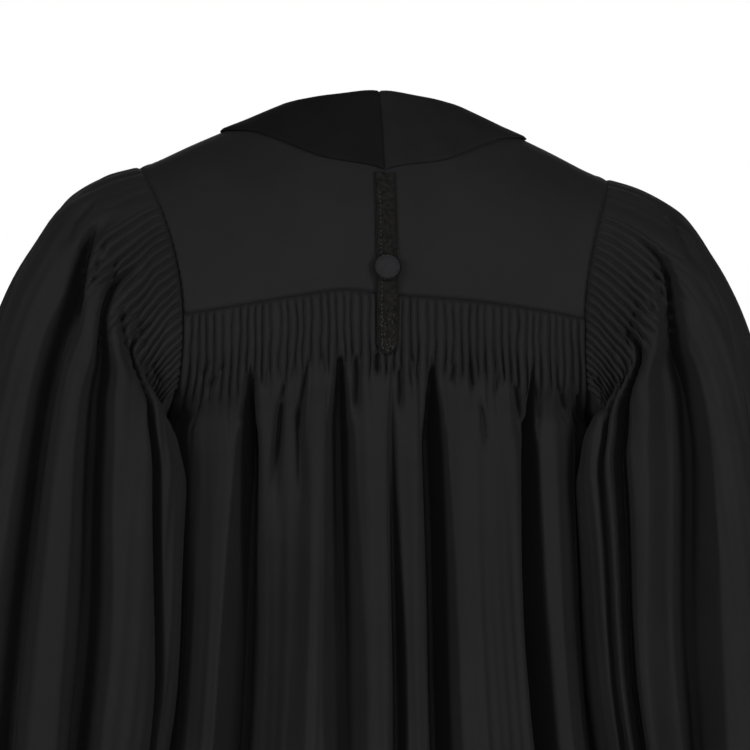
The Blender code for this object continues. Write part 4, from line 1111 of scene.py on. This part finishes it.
def sleeve_fold_heights(ring, angle, table):
    """Height of the sleeve's folds at rings and angles."""
    height = np.tile(column(table, SLEEVE_FOLD_COLUMNS, "height") / 1000.0, 3)
    half = np.tile(column(table, SLEEVE_FOLD_COLUMNS, "half"), 3)
    at_rings, shares = np.array(SLEEVE_WIDENING).T
    angle = angle + SLEEVE_SWAY * drift(angle * 0.8, ring * 0.28, 43)
    result = np.zeros_like(angle)
    for row, number in enumerate(ring[:, 0]):
        at = sleeve_fold_places(number, table)
        around = np.concatenate([at - 360.0, at, at + 360.0])
        degrees = (np.degrees(angle[row]) + 180.0) % 360.0 - 180.0
        wide = half * np.interp(number, at_rings, shares)
        result[row] = draped(degrees, around, height, wide, SLEEVE_UNIT)
    grown = rising(ring, SLEEVE_FOLD_START, SLEEVE_FOLD_FULL - SLEEVE_FOLD_START)
    reach = np.where(np.sin(angle) > 0.0, UNDER_REACH_BACK, UNDER_REACH)
    return result * grown * (UNDER_SHARE + (1.0 - UNDER_SHARE) * ease((1.0 + np.cos(angle)) / reach))


def under_puff(ring, angle):
    """How far the slack cloth low down by the armhole stands out, behind and in front."""
    side = np.where(np.sin(angle) >= 0.0, 1.0, -1.0)
    turned = np.arccos(np.clip(np.cos(angle), -1.0, 1.0))
    puff = dip(turned, PUFF_ANGLE, PUFF_WIDTH) * dip(ring, PUFF_RING, PUFF_RINGS)
    return side * PUFF_DEPTH * puff * ease(ring / PUFF_START)


def sleeve_columns(seed):
    """Angles round the armhole, places across each gather, and the height of each gather."""
    halves = []
    for side in (1, -1):
        head, head_part = flute_columns(SLEEVE_HEAD_GATHERS, HEAD_POINTS, seed + side)
        flutes, flute_part = flute_columns(SLEEVE_FLUTES, FLUTE_POINTS, seed + 10 + side)
        under = np.linspace(SLEEVE_FLUTE_END, 180.0, UNDER_POINTS // 2 + 1)
        fluted = SLEEVE_FLUTE_START + flutes * (SLEEVE_FLUTE_END - SLEEVE_FLUTE_START)
        parts = (
            (head * SLEEVE_FLUTE_START, head_part, HEAD_GATHER_HEIGHT),
            (fluted, flute_part, FLUTE_HEIGHT),
            (under, np.zeros(len(under)), 0.0),
        )
        rows = [(places[:-1], across[:-1], np.full(len(places) - 1, kind)) for places, across, kind in parts]
        halves.append([np.concatenate(values) for values in zip(*rows)])
    behind, front = halves
    degrees = np.concatenate([behind[0], [180.0], 360.0 - front[0][:0:-1]])
    across, kind = [np.concatenate([behind[k], [0.0], front[k][:0:-1]]) for k in (1, 2)]
    return np.radians(degrees), across, kind


def sleeve_rings():
    """Ring numbers of the rows: close at the armhole, then about as far apart down the cloth."""
    fine = np.linspace(0.0, 3.0, SLEEVE_FINE_ROWS)
    sample = np.linspace(fine[-1], RINGS[-1][0], 200)
    middle = [ring_value(sample, "outer_" + axis) + ring_value(sample, "inner_" + axis) for axis in "xz"]
    along = line_lengths(np.stack(middle, axis=-1) / 2.0)
    steps = np.linspace(0.0, along[-1], SLEEVE_LONG_ROWS + 1)[1:]
    return np.concatenate([fine, np.interp(steps, along, sample)])


def make_sleeve(name, mirror, table, creases, seed):
    """A bell sleeve: fluted round the armhole, then long folds down to an open cuff."""
    angles, part, kind = sleeve_columns(seed)
    ring, angle = np.meshgrid(sleeve_rings(), angles, indexing="ij")
    pitch = math.radians((SLEEVE_FLUTE_END - SLEEVE_FLUTE_START) / SLEEVE_FLUTES)
    waver = waves(angle, ring, SLEEVE_WAVERS, seed + 2) * span(ring, *SLEEVE_WAVER_SPAN)
    turned = angle + twist(ring, angle) + waver * FLUTE_WAVER * pitch * np.sin(angle) ** 2
    start = armhole(angle) - loop_point(np.zeros_like(ring), angle)
    base = loop_point(ring, turned) + start * falling(ring, 0.0, ARMHOLE_BLEND_RINGS)[..., None]
    base[..., 0] += SEAM_GAP * falling(ring, 0.0, GAP_RINGS)
    wave = waves(angle, ring, SLEEVE_WAVES, seed + 4) * rising(ring, 1.5, 3.0)
    heights = sleeve_fold_heights(ring, turned, table) + wave * ease((1.0 + np.cos(angle)) / 0.4)
    away = aimed(normals(base, ring=True), np.sin(turned)[..., None] * Y_AXIS)
    folded = base + away * heights[..., None]
    folded[..., 1] += under_puff(ring, angle)
    facing = normals(folded, ring=True)
    facing[0] = seam_clear(facing[0], 0, 1)
    uneven = np.random.default_rng(seed + 6).uniform(*FLUTE_TALL, len(angles) // FLUTE_POINTS + 1)
    number = np.minimum(np.arange(len(angles)) // FLUTE_POINTS, len(uneven) - 1)
    length = SLEEVE_FLUTE_RINGS + SLEEVE_FLUTE_SPREAD * drift(np.degrees(angles) / 14.0, 0.0, seed + 7)
    middle = 0.85 + 0.3 * uneven[number] * np.abs(np.sin(part * math.pi))
    fade = falling(ring, length, SLEEVE_FLUTE_FADE) * ease(ring / 0.14)
    raised = kind * flute_profile(part) * middle * fade
    line = rising(ring, 1.0, 0.8) * falling(ring, length + 0.6, 1.2) * (kind > HEAD_GATHER_HEIGHT)
    raised = raised - SLEEVE_LINE_DEPTH * valley_profile(part) * line
    side = np.array([mirror, 1.0, 1.0])
    outer = pressed((folded + away * raised[..., None]) * side, away * side, creases) * side
    inner = -facing * CLOTH_WALL
    inner[0] = seam_clear(inner[0], 0, 1)
    return shell(name, outer, outer + inner, ring=True, mirror=mirror, turned=True)


# Yoke and collar


def neck_line(station, name):
    """Width and turn of one of the neck's lines at a station, on the wearer's left half."""
    names = ("station", "side", name + "_x", name + "_z")
    at, side, x, z = [column(NECK_STATIONS, NECK_COLUMNS, part) for part in names]
    turn = shoulder_turn(x, z, side)
    turn[at == SHOULDER_STATION] = 0.0
    return flow(station, at, x), flow(station, at, turn)


def seam_point(x, z, side):
    """Point of a yoke seam on the plain cloth."""
    return x, body_depth(x, z, side), z


def yoke_outline(mirror):
    """Outer edge of half a yoke, from centre front to centre back: points and neck stations."""
    points = []
    stations = []
    front = armhole(-FRONT_CORNER)
    back = armhole(BACK_CORNER)
    for name, spans in YOKE_SPANS:
        first, last = YOKE_STATIONS[name]
        for k in range(spans + (1 if name == "back seam" else 0)):
            t = k / spans
            if name == "front seam":
                z = FRONT_SEAM_CENTRE + (front[2] - FRONT_SEAM_CENTRE) * t
                point = seam_point(front[0] * t, z, -1)
            elif name == "armhole front":
                point = armhole(-FRONT_CORNER * (1.0 - t))
            elif name == "armhole back":
                point = armhole(BACK_CORNER * t)
            else:
                x = back[0] * (1.0 - t)
                point = seam_point(x, tabled(mirror * x, BACK_SEAM, BACK_SEAM_COLUMNS, "z"), 1)
            points.append(point)
            stations.append(first + (last - first) * t)
    return np.array(points, dtype=float), np.array(stations)


def yoke_half(mirror):
    """Rows of outer points of half a yoke, from the neckline out, centre front to centre back."""
    edge, stations = yoke_outline(mirror)
    side = np.where(stations >= SHOULDER_STATION, 1.0, -1.0)
    edge_turn = shoulder_turn(edge[:, 0], edge[:, 2], side)
    neck_x, neck_turn = neck_line(stations, "neck")
    drop_fix = np.minimum(edge[:, 2] - shoulder(edge[:, 0], edge_turn)[:, 2], 0.0)
    rows = []
    for t in np.linspace(0.0, 1.0, YOKE_ROW_COUNT)[:-1]:
        row = shoulder(neck_x + (edge[:, 0] - neck_x) * t, neck_turn + (edge_turn - neck_turn) * t)
        row[:, 2] += drop_fix * t ** 2
        rows.append(row)
    return np.array(rows + [edge]) * np.array([mirror, 1.0, 1.0])


def make_yoke():
    """The yoke: one piece over both shoulders, open down the centre front under the band.

    Its seam allowance turns under the pieces sewn to it and closes the seams to light."""
    left = yoke_half(1)
    right = yoke_half(-1)
    left[:, 0, 0] = SEAM_GAP / 2.0
    right[:, 0, 0] = -SEAM_GAP / 2.0
    left[:, -1, 0] = 0.0
    grid = np.concatenate([right, left[:, -2::-1]], axis=1)
    outward = -normals(grid)
    down = cloth_lengths(grid, 0)
    to_edge = down[-1] - down
    lift = WELT * ease((WELT_WIDTH - to_edge) / YOKE_EDGE_WIDTH)
    lift = lift - YOKE_EDGE_DIP * falling(to_edge, 0.0, YOKE_EDGE_WIDTH)
    ripple = drift(grid[..., 0] * 9.0, grid[..., 2] * 7.0 + grid[..., 1] * 5.0, 51)
    lift = lift + YOKE_RIPPLE * ripple * ease(to_edge / 0.03)
    outer = grid + outward * lift[..., None]
    inner = outer - outward * CLOTH_WALL
    tangent = unit(grid[-1] - grid[-2])
    inner[-1] -= tangent * CLOTH_WALL
    folded = grid[-1] - outward[-1] * ALLOWANCE_DROP
    laid = folded + tangent * ALLOWANCE_WIDTH - outward[-1] * ALLOWANCE_TILT
    outer = np.concatenate([outer, folded[None], laid[None]])
    inner_fold = folded - (tangent + outward[-1]) * CLOTH_WALL
    inner = np.concatenate([inner, inner_fold[None], (laid - outward[-1] * CLOTH_WALL)[None]])
    return shell("yoke_cloth", outer, inner), grid


def make_collar(name, mirror):
    """Half a collar: it stands round the neck, rolls over and falls on the yoke."""
    stations = yoke_outline(mirror)[1]
    lines = [neck_line(stations, part) for part in ("edge", "neck", "fall")]
    shares = np.concatenate([np.linspace(0.0, 1.0, COLLAR_ROWS)[:-1], np.linspace(1.0, 2.0, COLLAR_ROWS)])
    rows = []
    for share in shares:
        (x0, turn0), (x1, turn1) = lines[:2] if share < 1.0 else lines[1:]
        t = share if share < 1.0 else share - 1.0
        rows.append(shoulder(x0 + (x1 - x0) * t, turn0 + (turn1 - turn0) * t))
    grid = np.array(rows)
    grid[:, 0, 0] = SEAM_GAP / 2.0
    grid[:, -1, 0] = 0.0
    outward = normals(grid)
    down = cloth_lengths(grid, 0)
    to_fall = down[-1] - down
    across = cloth_lengths(grid, 1)
    to_centre = np.minimum(across, across[:, -1:] - across)
    lift = LAID_GAP + COLLAR_FALL_LIFT * falling(to_fall, 0.0, COLLAR_FALL_WIDTH)
    full = COLLAR_WALL - 0.0012 * falling(to_fall, 0.0, 0.003) - 0.0011 * falling(to_centre, 0.0, 0.002)
    nap = COLLAR_NAP * drift(grid[..., 0] * 14.0, grid[..., 2] * 14.0, 61) * ease(to_centre / 0.01)
    base = grid + outward * lift[..., None]
    outer = base + outward * (full + nap)[..., None]
    base[:, -1, 0] = 0.0
    outer[:, -1, 0] = 0.0
    return shell(name, outer, base, mirror=mirror, turned=True)


# Band, braid, button and stitches


def strip(name, line, half, wall, lift, relief, ends, turned=False):
    """A strip laid along a line: relief gives its height over places across and down."""
    tangent = np.gradient(line, axis=0)
    side = np.sign(line[:, 1].mean())
    outward = unit(np.cross(tangent, X_AXIS) * -side)
    across = np.linspace(-1.0, 1.0, relief.shape[1])
    middle = line[:, None] + X_AXIS * (across * half)[:, None] * ends[:, None, None]
    base = middle + outward[:, None] * lift[:, None, None]
    outer = base + outward[:, None] * (wall + relief)[..., None]
    return shell(name, outer, base, turned=turned), outer, outward


def make_braid(yoke, back):
    """The braid down the centre back: a ribbed band with bound edges and a pointed lower end."""
    line = np.concatenate([yoke[1:, (yoke.shape[1] - 1) // 2], back[1:, back.shape[1] // 2]])
    line = line[(line[:, 2] < BRAID_TOP + 0.01) & (line[:, 2] > BRAID_END - 0.02)]
    heights = np.linspace(BRAID_TOP, BRAID_END, STRIP_POINTS)
    depths = np.interp(-heights, -line[:, 2], line[:, 1])
    line = np.stack([np.zeros(len(heights)), depths, heights], axis=-1)
    lift = LAID_GAP + BRAID_LIFT * rising(-heights, -BRAID_RISE[0], BRAID_RISE[0] - BRAID_RISE[1])
    across = np.linspace(-1.0, 1.0, 33)
    out = np.abs(across)
    down = -heights[:, None] * 1000.0
    rib = np.sin((down + out * 3.0) * 2.0 * math.pi / BRAID_RIB) * BRAID_RIB_HEIGHT
    rough = drift(across * 4.0, down * 0.35, 72) * BRAID_ROUGH
    spine = BRAID_SPINE * dip(across, 0.0, 0.10)
    groove = BRAID_GROOVE * dip(out, 0.80, 0.05)
    relief = (rib + rough) * (out < 0.78) - spine - groove - BRAID_EDGE * rising(out, 0.90, 0.10)
    ends = np.clip((heights - BRAID_END) / BRAID_POINT, 0.06, 1.0) ** 0.8
    braid, _, outward = strip("back_braid_cloth", line, BRAID_HALF, BRAID_WALL, lift, relief, ends)
    return braid, line, lift, outward, ends


def threads(name, arcs, radius, sides=6):
    """Short round threads along arcs of points, all in one mesh."""
    tubes = []
    turn = np.linspace(0.0, 2.0 * math.pi, sides, endpoint=False)[:, None]
    for arc in arcs:
        tangent = unit(np.gradient(arc, axis=0))
        first = unit(np.cross(tangent, Y_AXIS if abs(tangent[0, 1]) < 0.9 else X_AXIS))
        second = np.cross(tangent, first)
        size = radius * np.sqrt(np.clip(1.0 - np.linspace(-0.97, 0.97, len(arc)) ** 6, 0.05, 1.0))
        ring = first[:, None] * np.cos(turn) + second[:, None] * np.sin(turn)
        tubes.append((arc[:, None] + ring * size[:, None, None], arc[0], arc[-1]))
    return closed_tubes(name, tubes)


def button_seat(line, lift, outward):
    """Where the button sits on the braid: its centre, and its directions right, up and away."""
    surface = line + outward * (lift + BRAID_WALL + LAID_GAP)[:, None]
    places = BUTTON_Z + BUTTON_RADIUS * np.array([0.0, 1.0, -1.0])
    middle, above, below = surface[[np.argmin(np.abs(line[:, 2] - place)) for place in places]]
    up = unit(above - below)
    return middle, X_AXIS, up, unit(np.cross(up, X_AXIS))


def make_loops(line, lift, outward, ends):
    """Little thread loops along both edges of the braid, dark as painted shade along its edges, and a ring
    of the dark thread round the button as a painted shadow.
    """
    arcs = []
    along = line_lengths(line)
    turn = np.linspace(-0.5 * math.pi, 0.5 * math.pi, 7)
    for side in (-1.0, 1.0):
        for at in np.arange(0.002, along[-1] - 0.003, LOOP_PITCH):
            k = int(np.searchsorted(along, at))
            centre = line[k] + outward[k] * (lift[k] + BRAID_WALL * 0.45)
            centre = centre + X_AXIS * side * BRAID_HALF * ends[k] * 0.97
            loop = (LOOP_REACH * np.cos(turn) * side, np.zeros(7), LOOP_HALF * np.sin(turn))
            arcs.append(centre + np.stack(loop, axis=-1))
    # The dark ring round the button is a painted shadow
    centre, right, up, away = button_seat(line, lift, outward)
    turn = np.linspace(0.0, 2.0 * math.pi, 73)[:, None]
    arcs.append(centre + away * SHADOW_RING_LIFT + SHADOW_RING_RADIUS * (right * np.cos(turn) + up * np.sin(turn)))
    return threads("braid_loops_and_shadow_ring", arcs, LOOP_RADIUS)


def make_knots(line, lift, outward, ends):
    """Small pale thread knots down one side of the braid, and worn ones near its pointed end."""
    rng = np.random.default_rng(73)
    along = line_lengths(line)
    row = np.arange(KNOT_TOP, along[-1] - 0.006, KNOT_PITCH)
    worn_at = along[-1] - rng.uniform(0.004, WORN_LENGTH, WORN_KNOTS)
    worn_across = rng.uniform(-0.75, 0.75, WORN_KNOTS)
    places = [(at, KNOT_PLACE) for at in row] + list(zip(worn_at, worn_across))
    t = np.linspace(-1.0, 1.0, 5)
    arcs = []
    for at, place in places:
        k = int(np.searchsorted(along, at + rng.uniform(-0.0004, 0.0004)))
        centre = line[k] + outward[k] * (lift[k] + BRAID_WALL + 0.0001)
        centre = centre + X_AXIS * place * BRAID_HALF * ends[k]
        lean_over = rng.uniform(-0.7, 0.7)
        half = rng.uniform(0.0006, 0.0011)
        bow = outward[k] * (0.0004 * (1.0 - t ** 2))[:, None]
        knot = np.stack([np.sin(lean_over) * t, 0.0 * t, np.cos(lean_over) * t], axis=-1)
        arcs.append(centre + knot * half + bow)
    return threads("braid_knots", arcs, KNOT_RADIUS)


def make_stitches(name, lines):
    """Running stitches along lines of points: each is a short thread that dips at its ends."""
    arcs = []
    step = STITCH_LENGTH + STITCH_GAP
    for points, outward in lines:
        along = line_lengths(points)
        for at in np.arange(STITCH_GAP, along[-1] - step, step):
            t = np.linspace(at, at + STITCH_LENGTH, len(STITCH_RISE))
            away = line_at(t, along, outward)
            arcs.append(line_at(t, along, points) + away * np.array(STITCH_RISE)[:, None])
    return threads(name, arcs, STITCH_RADIUS, sides=5)


def make_band(front):
    """The flat band over the closure, from the yoke seam down, and the lines of its stitches."""
    line = front[:, 0].copy()
    line[:, 0] = 0.0
    along = line_lengths(line)
    line = line[along < BAND_LENGTH]
    along = line_lengths(line)
    line = line_at(np.linspace(0.0, along[-1], STRIP_POINTS), along, line)
    across = np.linspace(-1.0, 1.0, 25)
    out = np.abs(across)
    puff = BAND_PUFF * drift(across * 1.5, np.linspace(0.0, 9.0, STRIP_POINTS)[:, None], 71)
    relief = puff - BAND_EDGE * rising(out, 0.94, 0.06) - BAND_GROOVE * dip(out, 0.80, 0.05)
    lift = np.full(STRIP_POINTS, LAID_GAP)
    ends = np.ones(STRIP_POINTS)
    band, outer, outward = strip("front_band", line, BAND_HALF, BAND_WALL, lift, relief, ends, turned=True)
    return band, [(outer[:, at], outward) for at in STITCH_COLUMNS]


def make_button(line, lift, outward):
    """The covered button: a cloth dome with small puckers near its rim, and its gathered back."""
    centre, right, up, away = button_seat(line, lift, outward)
    turns = np.linspace(0.0, 2.0 * math.pi, BUTTON_POINTS, endpoint=False)[:, None]
    puckers = np.sin(turns * BUTTON_PUCKERS + 0.7 * np.sin(turns * 3.0))
    rows = []
    for share, height in BUTTON_PROFILE:
        radius = BUTTON_RADIUS * share + BUTTON_PUCKER * puckers * rising(share, 0.75, 0.2)
        sag = BUTTON_SAG * np.cos(turns * 2.0 + 1.0) * share
        disc = (right * np.cos(turns) + up * np.sin(turns)) * radius
        rows.append(centre + disc + away * (BUTTON_HEIGHT * height + sag))
    return closed_tubes("button_cloth", [(np.array(rows), centre + away * BUTTON_HEIGHT, centre)])


# Materials


# Surfaces: roughness, and of the sheen; how far the colour drifts down and up, and how finely;
# threads of a weave, grain and its detail; strength and depth of the bump
SURFACE_COLUMNS = (
    "roughness", "sheen_roughness", "low", "high", "drift", "threads", "grain", "detail", "bump", "depth"
)
SURFACES = {
    "weave": (0.72, 0.45, 0.86, 1.13, 11.0, 300.0, 900.0, 4.0, 0.35, 0.0002),
    "nap": (0.95, 0.35, 0.86, 1.14, 26.0, 0.0, 900.0, 3.0, 0.5, 0.0003),
    "braid": (0.80, 0.40, 0.25, 2.10, 260.0, 420.0, 1500.0, 4.0, 0.6, 0.0003),
    "thread": (0.55, 0.40, 0.70, 1.35, 260.0, 0.0, 2500.0, 2.0, 0.5, 0.0001),
    "button": (0.85, 0.40, 0.85, 1.15, 160.0, 0.0, 1600.0, 2.0, 0.4, 0.0001),
}
# Materials: surface, colour, sheen and specular level. The collar's nap lies down on one half and up on the
# other; the two halves are one velvet in two colours, with painted shade on the darker half and painted
# sheen on the paler one.
MATERIALS = {
    "robe weave": ("weave", (0.0190, 0.0190, 0.0205), 0.035, 0.22),
    # One velvet twice: darker with painted shade, paler with painted sheen
    "velvet painted shade": ("nap", (0.0115, 0.0115, 0.0122), 0.02, 0.10),
    "velvet painted sheen": ("nap", (0.0198, 0.0198, 0.0209), 0.03, 0.10),
    "braid weave": ("braid", (0.0140, 0.0135, 0.0125), 0.03, 0.15),
    # The braid thread's dark colour is painted shade along the braid's edges and round the button
    "braid thread": ("thread", (0.0045, 0.0045, 0.0048), 0.05, 0.20),
    "worn braid thread": ("thread", (0.034, 0.033, 0.030), 0.05, 0.35),
    "button weave": ("button", (0.0375, 0.0375, 0.0400), 0.05, 0.10),
    "sewing thread": ("thread", (0.016, 0.016, 0.017), 0.05, 0.35),
}


def new_material(name, colour, roughness, sheen, sheen_roughness, specular):
    """A material with its plain numbers set, its tree and its shader."""
    made = bpy.data.materials.new(name)
    made.use_nodes = True
    tree = made.node_tree
    shader = tree.nodes["Principled BSDF"]
    shader.inputs["Base Color"].default_value = (*colour, 1.0)
    shader.inputs["Roughness"].default_value = roughness
    shader.inputs["Sheen Weight"].default_value = sheen
    shader.inputs["Sheen Roughness"].default_value = sheen_roughness
    shader.inputs["Specular IOR Level"].default_value = specular
    return made, tree, shader


def node(tree, kind, inputs=(), links=(), **settings):
    """A shader node with its settings, the values of its inputs, and what feeds the others."""
    made = tree.nodes.new("ShaderNode" + kind)
    for name, value in settings.items():
        setattr(made, name, value)
    for name, value in dict(inputs).items():
        made.inputs[name].default_value = value
    for name, output in dict(links).items():
        tree.links.new(output, made.inputs[name])
    return made


def weave_height(tree, threads_per_unit, cloth_place):
    """Height of a plain weave over the cloth's own UV map."""
    crossing = []
    inputs = {"Scale": threads_per_unit, "Distortion": 0.6, "Detail": 1.0}
    for direction in ("X", "Y"):
        bands = {"wave_type": "BANDS", "bands_direction": direction}
        wave = node(tree, "TexWave", inputs, {"Vector": cloth_place}, **bands)
        crossing.append((len(crossing), wave.outputs["Fac"]))
    return node(tree, "Math", links=crossing, operation="MULTIPLY").outputs[0]


def make_material(name):
    """A cloth or a thread: plain numbers, a colour that drifts, and a bump of weave or grain."""
    kind, colour, sheen, specular = MATERIALS[name]
    surface = dict(zip(SURFACE_COLUMNS, SURFACES[kind]))
    finish = (surface["roughness"], sheen, surface["sheen_roughness"], specular)
    made, tree, shader = new_material(name, colour, *finish)
    place = node(tree, "TexCoord").outputs["Object"]
    inputs = {"Scale": surface["drift"], "Detail": 6.0, "Roughness": 0.6}
    noise = node(tree, "TexNoise", inputs, {"Vector": place})
    ramp = node(tree, "ValToRGB", links={"Fac": noise.outputs["Fac"]})
    stops = zip(ramp.color_ramp.elements, (0.30, 0.72), (surface["low"], surface["high"]))
    for element, position, share in stops:
        element.position = position
        element.color = (*[part * share for part in colour], 1.0)
    tree.links.new(ramp.outputs["Color"], shader.inputs["Base Color"])
    woven = surface["threads"] > 0.0
    if woven:
        place = node(tree, "UVMap", uv_map="cloth").outputs["UV"]
    inputs = {"Scale": surface["grain"], "Detail": surface["detail"]}
    height = node(tree, "TexNoise", inputs, {"Vector": place}).outputs["Fac"]
    if woven:
        weave = weave_height(tree, surface["threads"], place)
        height = node(tree, "Math", links={0: weave, 1: height}, operation="ADD").outputs[0]
    inputs = {"Strength": surface["bump"], "Distance": surface["depth"]}
    bump = node(tree, "Bump", inputs, {"Height": height})
    tree.links.new(bump.outputs["Normal"], shader.inputs["Normal"])
    return made


# Floor, backdrop, camera and lights


def make_stage():
    """A pale floor under the hem and a white surround that only the camera sees."""
    place = (0.0, 0.0, FLOOR_Z)
    bpy.ops.mesh.primitive_circle_add(vertices=96, radius=FLOOR_RADIUS, fill_type="NGON", location=place)
    floor = bpy.context.object
    floor.name = "floor"
    pale, _, _ = new_material("pale floor", (0.72, 0.72, 0.71), 0.9, 0.0, 0.5, 0.2)
    floor.data.materials.append(pale)
    bpy.ops.mesh.primitive_uv_sphere_add(segments=48, ring_count=24, radius=SURROUND_RADIUS)
    surround = bpy.context.object
    surround.name = "surround"
    white = bpy.data.materials.new("white surround")
    white.use_nodes = True
    tree = white.node_tree
    tree.nodes.clear()
    glow = node(tree, "Emission", {"Color": WHITE, "Strength": 1.0})
    node(tree, "OutputMaterial", links={"Surface": glow.outputs["Emission"]})
    surround.data.materials.append(white)
    for ray in ("diffuse", "glossy", "transmission", "shadow"):
        setattr(surround, "visible_" + ray, False)


def look_at(thing, place, target):
    """Put a camera or a light at a place, facing a target."""
    thing.location = place
    thing.rotation_euler = Vector(np.array(target) - place).to_track_quat("-Z", "Y").to_euler()


def make_camera():
    """The camera at the photo's angle, behind the robe."""
    data = bpy.data.cameras.new("camera")
    data.sensor_fit = "HORIZONTAL"
    data.sensor_width = FILM_WIDTH
    data.lens = FILM_WIDTH * VIEW_DISTANCE / VIEW_WIDTH
    data.clip_end = 60.0
    camera = placed("camera", data)
    look_at(camera, VIEW_PLACE, VIEW_CENTRE)
    bpy.context.scene.camera = camera


# Lights: name, degrees round the robe from the camera, distance, height, size and watts
LIGHTS = (
    ("left box", -44.0, 3.4, 0.5, 1.0, 30.0),
    ("right box", 44.0, 3.4, 0.5, 1.0, 28.2),
    ("back box", -4.0, 3.9, 0.6, 1.2, 20.0),
    ("front box", 180.0, 3.4, 0.6, 2.0, 30.0),
)
LIGHT_TARGET = (0.0, 0.0, -0.30)
WORLD_STRENGTH = 0.05


def make_lights():
    """Large soft lights at both sides, behind and in front, and a weak even sky."""
    world = bpy.data.worlds.new("sky")
    world.use_nodes = True
    sky = world.node_tree.nodes["Background"]
    sky.inputs["Color"].default_value = WHITE
    sky.inputs["Strength"].default_value = WORLD_STRENGTH
    bpy.context.scene.world = world
    for name, degrees, distance, height, size, watts in LIGHTS:
        data = bpy.data.lights.new(name, "AREA")
        data.shape = "SQUARE"
        data.size = size
        data.energy = watts
        turn = math.radians(degrees) + VIEW_TURN
        place = (distance * math.sin(turn), distance * math.cos(turn), height)
        look_at(placed(name, data), place, LIGHT_TARGET)


# Everything together


# Pieces: name, material, slot, and the node that each stands for
PIECES = (
    ("yoke_cloth", "robe weave", "robe_cloth", "yoke"),
    ("back_cloth", "robe weave", "robe_cloth", "back"),
    ("front_left_cloth", "robe weave", "robe_cloth", "front_left"),
    ("front_right_cloth", "robe weave", "robe_cloth", "front_right"),
    ("sleeve_left_cloth", "robe weave", "robe_cloth", "sleeve_left"),
    ("sleeve_right_cloth", "robe weave", "robe_cloth", "sleeve_right"),
    # The collar halves carry painted shade on one and painted sheen on the other
    ("collar_left_cloth", "velvet painted shade", "collar_cloth", "collar_left"),
    ("collar_right_cloth", "velvet painted sheen", "collar_cloth", "collar_right"),
    ("front_band", "robe weave", "robe_cloth", "front_placket"),
    ("back_braid_cloth", "braid weave", "braid_cloth", "back_braid"),
    # Edge loops painted dark as shade, and the painted shadow ring round the button
    ("braid_loops_and_shadow_ring", "braid thread", "braid_cloth", None),
    ("braid_knots", "worn braid thread", "braid_cloth", None),
    ("button_cloth", "button weave", "button_cloth", "back_button"),
    ("band_stitches", "sewing thread", "robe_cloth", None),
)


def dress():
    """Give each piece its material and its body, and hide the node that it stands for."""
    materials = {name: make_material(name) for name in MATERIALS}
    for name, material, slot, stands_for in PIECES:
        piece = bpy.data.objects[name]
        piece.data.materials.append(materials[material])
        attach(piece, "root")
        if stands_for:
            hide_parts(stands_for)


def main():
    """Make the pieces, dress them, and set the stage."""
    yoke, yoke_grid = make_yoke()
    back, back_grid = make_back(yoke_grid)
    front_left, front_grid = make_front("front_left_cloth", 1, FRONT_LEFT_FOLDS, yoke_grid, 81)
    front_right, _ = make_front("front_right_cloth", -1, FRONT_RIGHT_FOLDS, yoke_grid, 91)
    sleeve_left = make_sleeve("sleeve_left_cloth", 1, LEFT_SLEEVE_FOLDS, LEFT_SLEEVE_CREASES, 101)
    sleeve_right = make_sleeve("sleeve_right_cloth", -1, RIGHT_SLEEVE_FOLDS, RIGHT_SLEEVE_CREASES, 121)
    collar_left = make_collar("collar_left_cloth", 1)
    collar_right = make_collar("collar_right_cloth", -1)
    band, band_lines = make_band(front_grid)
    braid, *seat = make_braid(yoke_grid, back_grid)
    loops = make_loops(*seat)
    knots = make_knots(*seat)
    make_button(*seat[:3])
    stitches = make_stitches("band_stitches", band_lines)
    dress()
    make_stage()
    make_camera()
    make_lights()
    bpy.context.scene.view_settings.view_transform = "Standard"
    bpy.context.scene.view_settings.look = "None"


main()
